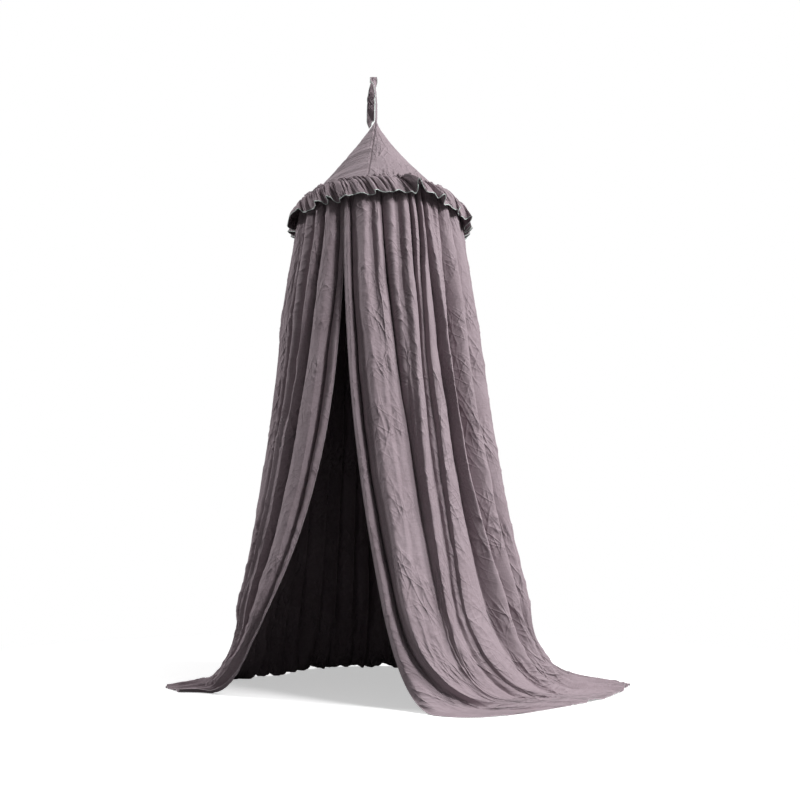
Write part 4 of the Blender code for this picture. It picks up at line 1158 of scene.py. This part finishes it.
def add_curtain(parts):
    """The three curtain pieces with overlocked leading edges and hems, and the hem stitching."""
    right_seam = (np.full(len(LEVELS), RIGHT_SEAM_TURN), np.zeros(len(LEVELS)))
    left_seam = (np.full(len(LEVELS), LEFT_SEAM_TURN), np.zeros(len(LEVELS)))
    start, seed, spacing = RIGHT_RANDOM
    right = list(RIGHT_LINES) + random_lines(start, RIGHT_SEAM_TURN, seed, spacing)[1:] + [right_seam]
    end, seed, spacing = LEFT_RANDOM
    left = [left_seam] + random_lines(LEFT_SEAM_TURN, end, seed, spacing) + list(LEFT_LINES)
    back = [right_seam] + random_lines(RIGHT_SEAM_TURN, LEFT_SEAM_TURN, *BACK_RANDOM) + [left_seam]
    rows = {
        "right_curtain": (LEADING_TURN, RIGHT_SEAM_TURN, right, 0),
        "left_curtain": (LEFT_SEAM_TURN, LEADING_TURN + FULL_TURN, left, -1),
        "back_curtain": (RIGHT_SEAM_TURN, LEFT_SEAM_TURN, back, None),
    }
    made = {}
    for name, (first, last, lines, leading) in rows.items():
        steps, width = CURTAIN_STEPS[name], CURTAIN_CUTS[name]
        grid, uv = curtain_surface(first, last, lines, CURTAIN_SEEDS[name], steps, width)
        piece = grid_mesh(name, grid, uv, parts["cloth"])
        normals = grid_normals(grid)
        line, outs = grid[:, -1], normals[:, -1]
        trims = [thread_edge(name + "_hem_thread", line, outs, parts["edge"], *CURTAIN_THREAD)]
        line, outs = grid[:, STITCH_ROW], normals[:, STITCH_ROW]
        trims.append(stitch_mesh(name + "_hem_stitches", line, outs, parts["stitch"]))
        if leading is not None:
            line, outs = grid[leading], normals[leading]
            trims.append(thread_edge(name + "_edge_thread", line, outs, parts["edge"], *CURTAIN_THREAD))
        made[name] = (piece, trims, grid)
    return made


def dress_curtain(curtain):
    bodies = {"right_curtain": "right_flap", "left_curtain": "left_flap"}
    nodes = {
        "right_curtain": ("right_heading", "right_front_panel"),
        "left_curtain": ("left_heading", "left_front_panel"),
        "back_curtain": ("back_heading", "back_panel"),
    }
    for name, (piece, trims, grid) in curtain.items():
        for made in (piece, *trims):
            if name in bodies:
                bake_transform(made)
            else:
                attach(made, "canopy")
        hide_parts(*nodes[name])


def dress_top(parts):
    ruffle, trims, length = add_ruffle(parts)
    for made in (ruffle, *trims):
        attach(made, "canopy")
    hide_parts("ruffle")
    for piece, gone in zip(add_cone(parts), ("cone_panel_right", "cone_panel_left")):
        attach(piece, "canopy")
        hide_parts(gone)
    channel = add_channel(parts)
    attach(channel, "canopy")
    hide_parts("hoop_channel")
    tape, trims = add_tape(parts)
    for made in (tape, *trims):
        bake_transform(made)
    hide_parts("tape_loop")


def build():
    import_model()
    cad_low, cad_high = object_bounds()
    parts = {
        "cloth": cloth_material("mauve_cotton"),
        "lining": cloth_material("mauve_lining"),
        "tape": cloth_material("mauve_tape"),
        "thread": thread_material("edge_thread", (0.56, 0.63, 0.60), 900.0),
        "edge": thread_material("curtain_edge_thread", (0.44, 0.37, 0.40), 900.0),
        "stitch": thread_material("seam_thread", (0.30, 0.25, 0.27), 1500.0),
        "tube": plastic_material("hoop_plastic_white", (0.78, 0.78, 0.76)),
        "sleeve": plastic_material("sleeve_plastic_grey", (0.70, 0.70, 0.69)),
    }
    dress_curtain(add_curtain(parts))
    dress_top(parts)
    for k in (1, 2, 3, 4):
        for kind in ("tube", "sleeve"):
            piece = bpy.data.objects[f"hoop_{kind}_{k}"]
            piece.data.materials.clear()
            piece.data.materials.append(parts[kind])
    return cad_low, cad_high


def stage_and_camera():
    scene = bpy.context.scene
    data = bpy.data.cameras.new("photo_camera")
    data.lens = CAMERA_LENS
    data.shift_x = CAMERA_SHIFT
    data.clip_end = 60.0
    camera = bpy.data.objects.new("photo_camera", data)
    camera.location = (HOOP_SHIFT, -CAMERA_BACK, FLOOR_Z + CAMERA_UP)
    camera.rotation_euler = (math.radians(90.0 + CAMERA_TILT), 0.0, 0.0)
    scene.collection.objects.link(camera)
    scene.camera = camera

    corners = np.array(((-1, -1), (1, -1), (1, 1), (-1, 1))) * FLOOR_HALF
    corners = np.column_stack((corners, np.full(4, FLOOR_Z)))
    quad_mesh("floor", corners, np.arange(4)[None], floor_material())
    for row in LAMPS:
        lamp(*row)
    spot = lamp(*FLOOR_LAMP, "SPOT")
    spot.data.spot_size = math.radians(FLOOR_LAMP_ANGLE)
    spot.data.spot_blend = 1.0

    world = bpy.data.worlds.new("studio")
    scene.world = world
    world.use_nodes = True
    graph = Graph(world.node_tree)
    camera, glossy = (graph.add("LightPath", {}, ray) for ray in ("Is Camera Ray", "Is Glossy Ray"))
    seen = graph.maths("MAXIMUM", camera, glossy)
    strength = graph.plus(graph.times(seen, 1.0 - WORLD_STRENGTH), WORLD_STRENGTH)
    graph.feed(graph.nodes["Background"], {"Color": (1.0, 1.0, 1.0, 1.0), "Strength": strength})
    scene.view_settings.view_transform = "Standard"


def lamp(name, place, aim, size, watts, kind="AREA"):
    data = bpy.data.lights.new(name, kind)
    if kind == "AREA":
        data.shape = "DISK"
        data.size = size
    else:
        data.shadow_soft_size = size
    data.energy = watts
    made = bpy.data.objects.new(name, data)
    made.location = place
    made.rotation_euler = (Vector(aim) - Vector(place)).to_track_quat("-Z", "Y").to_euler()
    bpy.context.scene.collection.objects.link(made)
    return made


def floor_material():
    """Pale floor that keeps the object's shadow near it and turns into the white background further out."""
    made, graph, shader = new_material("pale_floor")
    graph.feed(shader, {"Base Color": FLOOR_COLOUR, "Roughness": 0.9, "Specular IOR Level": 0.1})
    lift = graph.add("Emission", {"Strength": FLOOR_LIFT}, 0)
    lifted = graph.add("AddShader", {0: shader.outputs["BSDF"], 1: lift}, 0)
    plain = graph.add("BsdfDiffuse", {"Color": FLOOR_BOUNCE}, 0)
    white = graph.add("Emission", {"Color": (1.0, 1.0, 1.0, 1.0)}, 0)
    place = graph.add("NewGeometry", {}, "Position")
    far = graph.add("VectorMath", {0: place}, "Value", operation="LENGTH")
    camera = graph.add("LightPath", {}, "Is Camera Ray")
    fade = graph.times(graph.smooth_step(far, *FLOOR_FADE), camera)
    mixed = graph.mix(fade, graph.mix(camera, plain, lifted), white)
    graph.feed(graph.nodes["Material Output"], {"Surface": mixed})
    return made


cad_low, cad_high = build()
stage_and_camera()
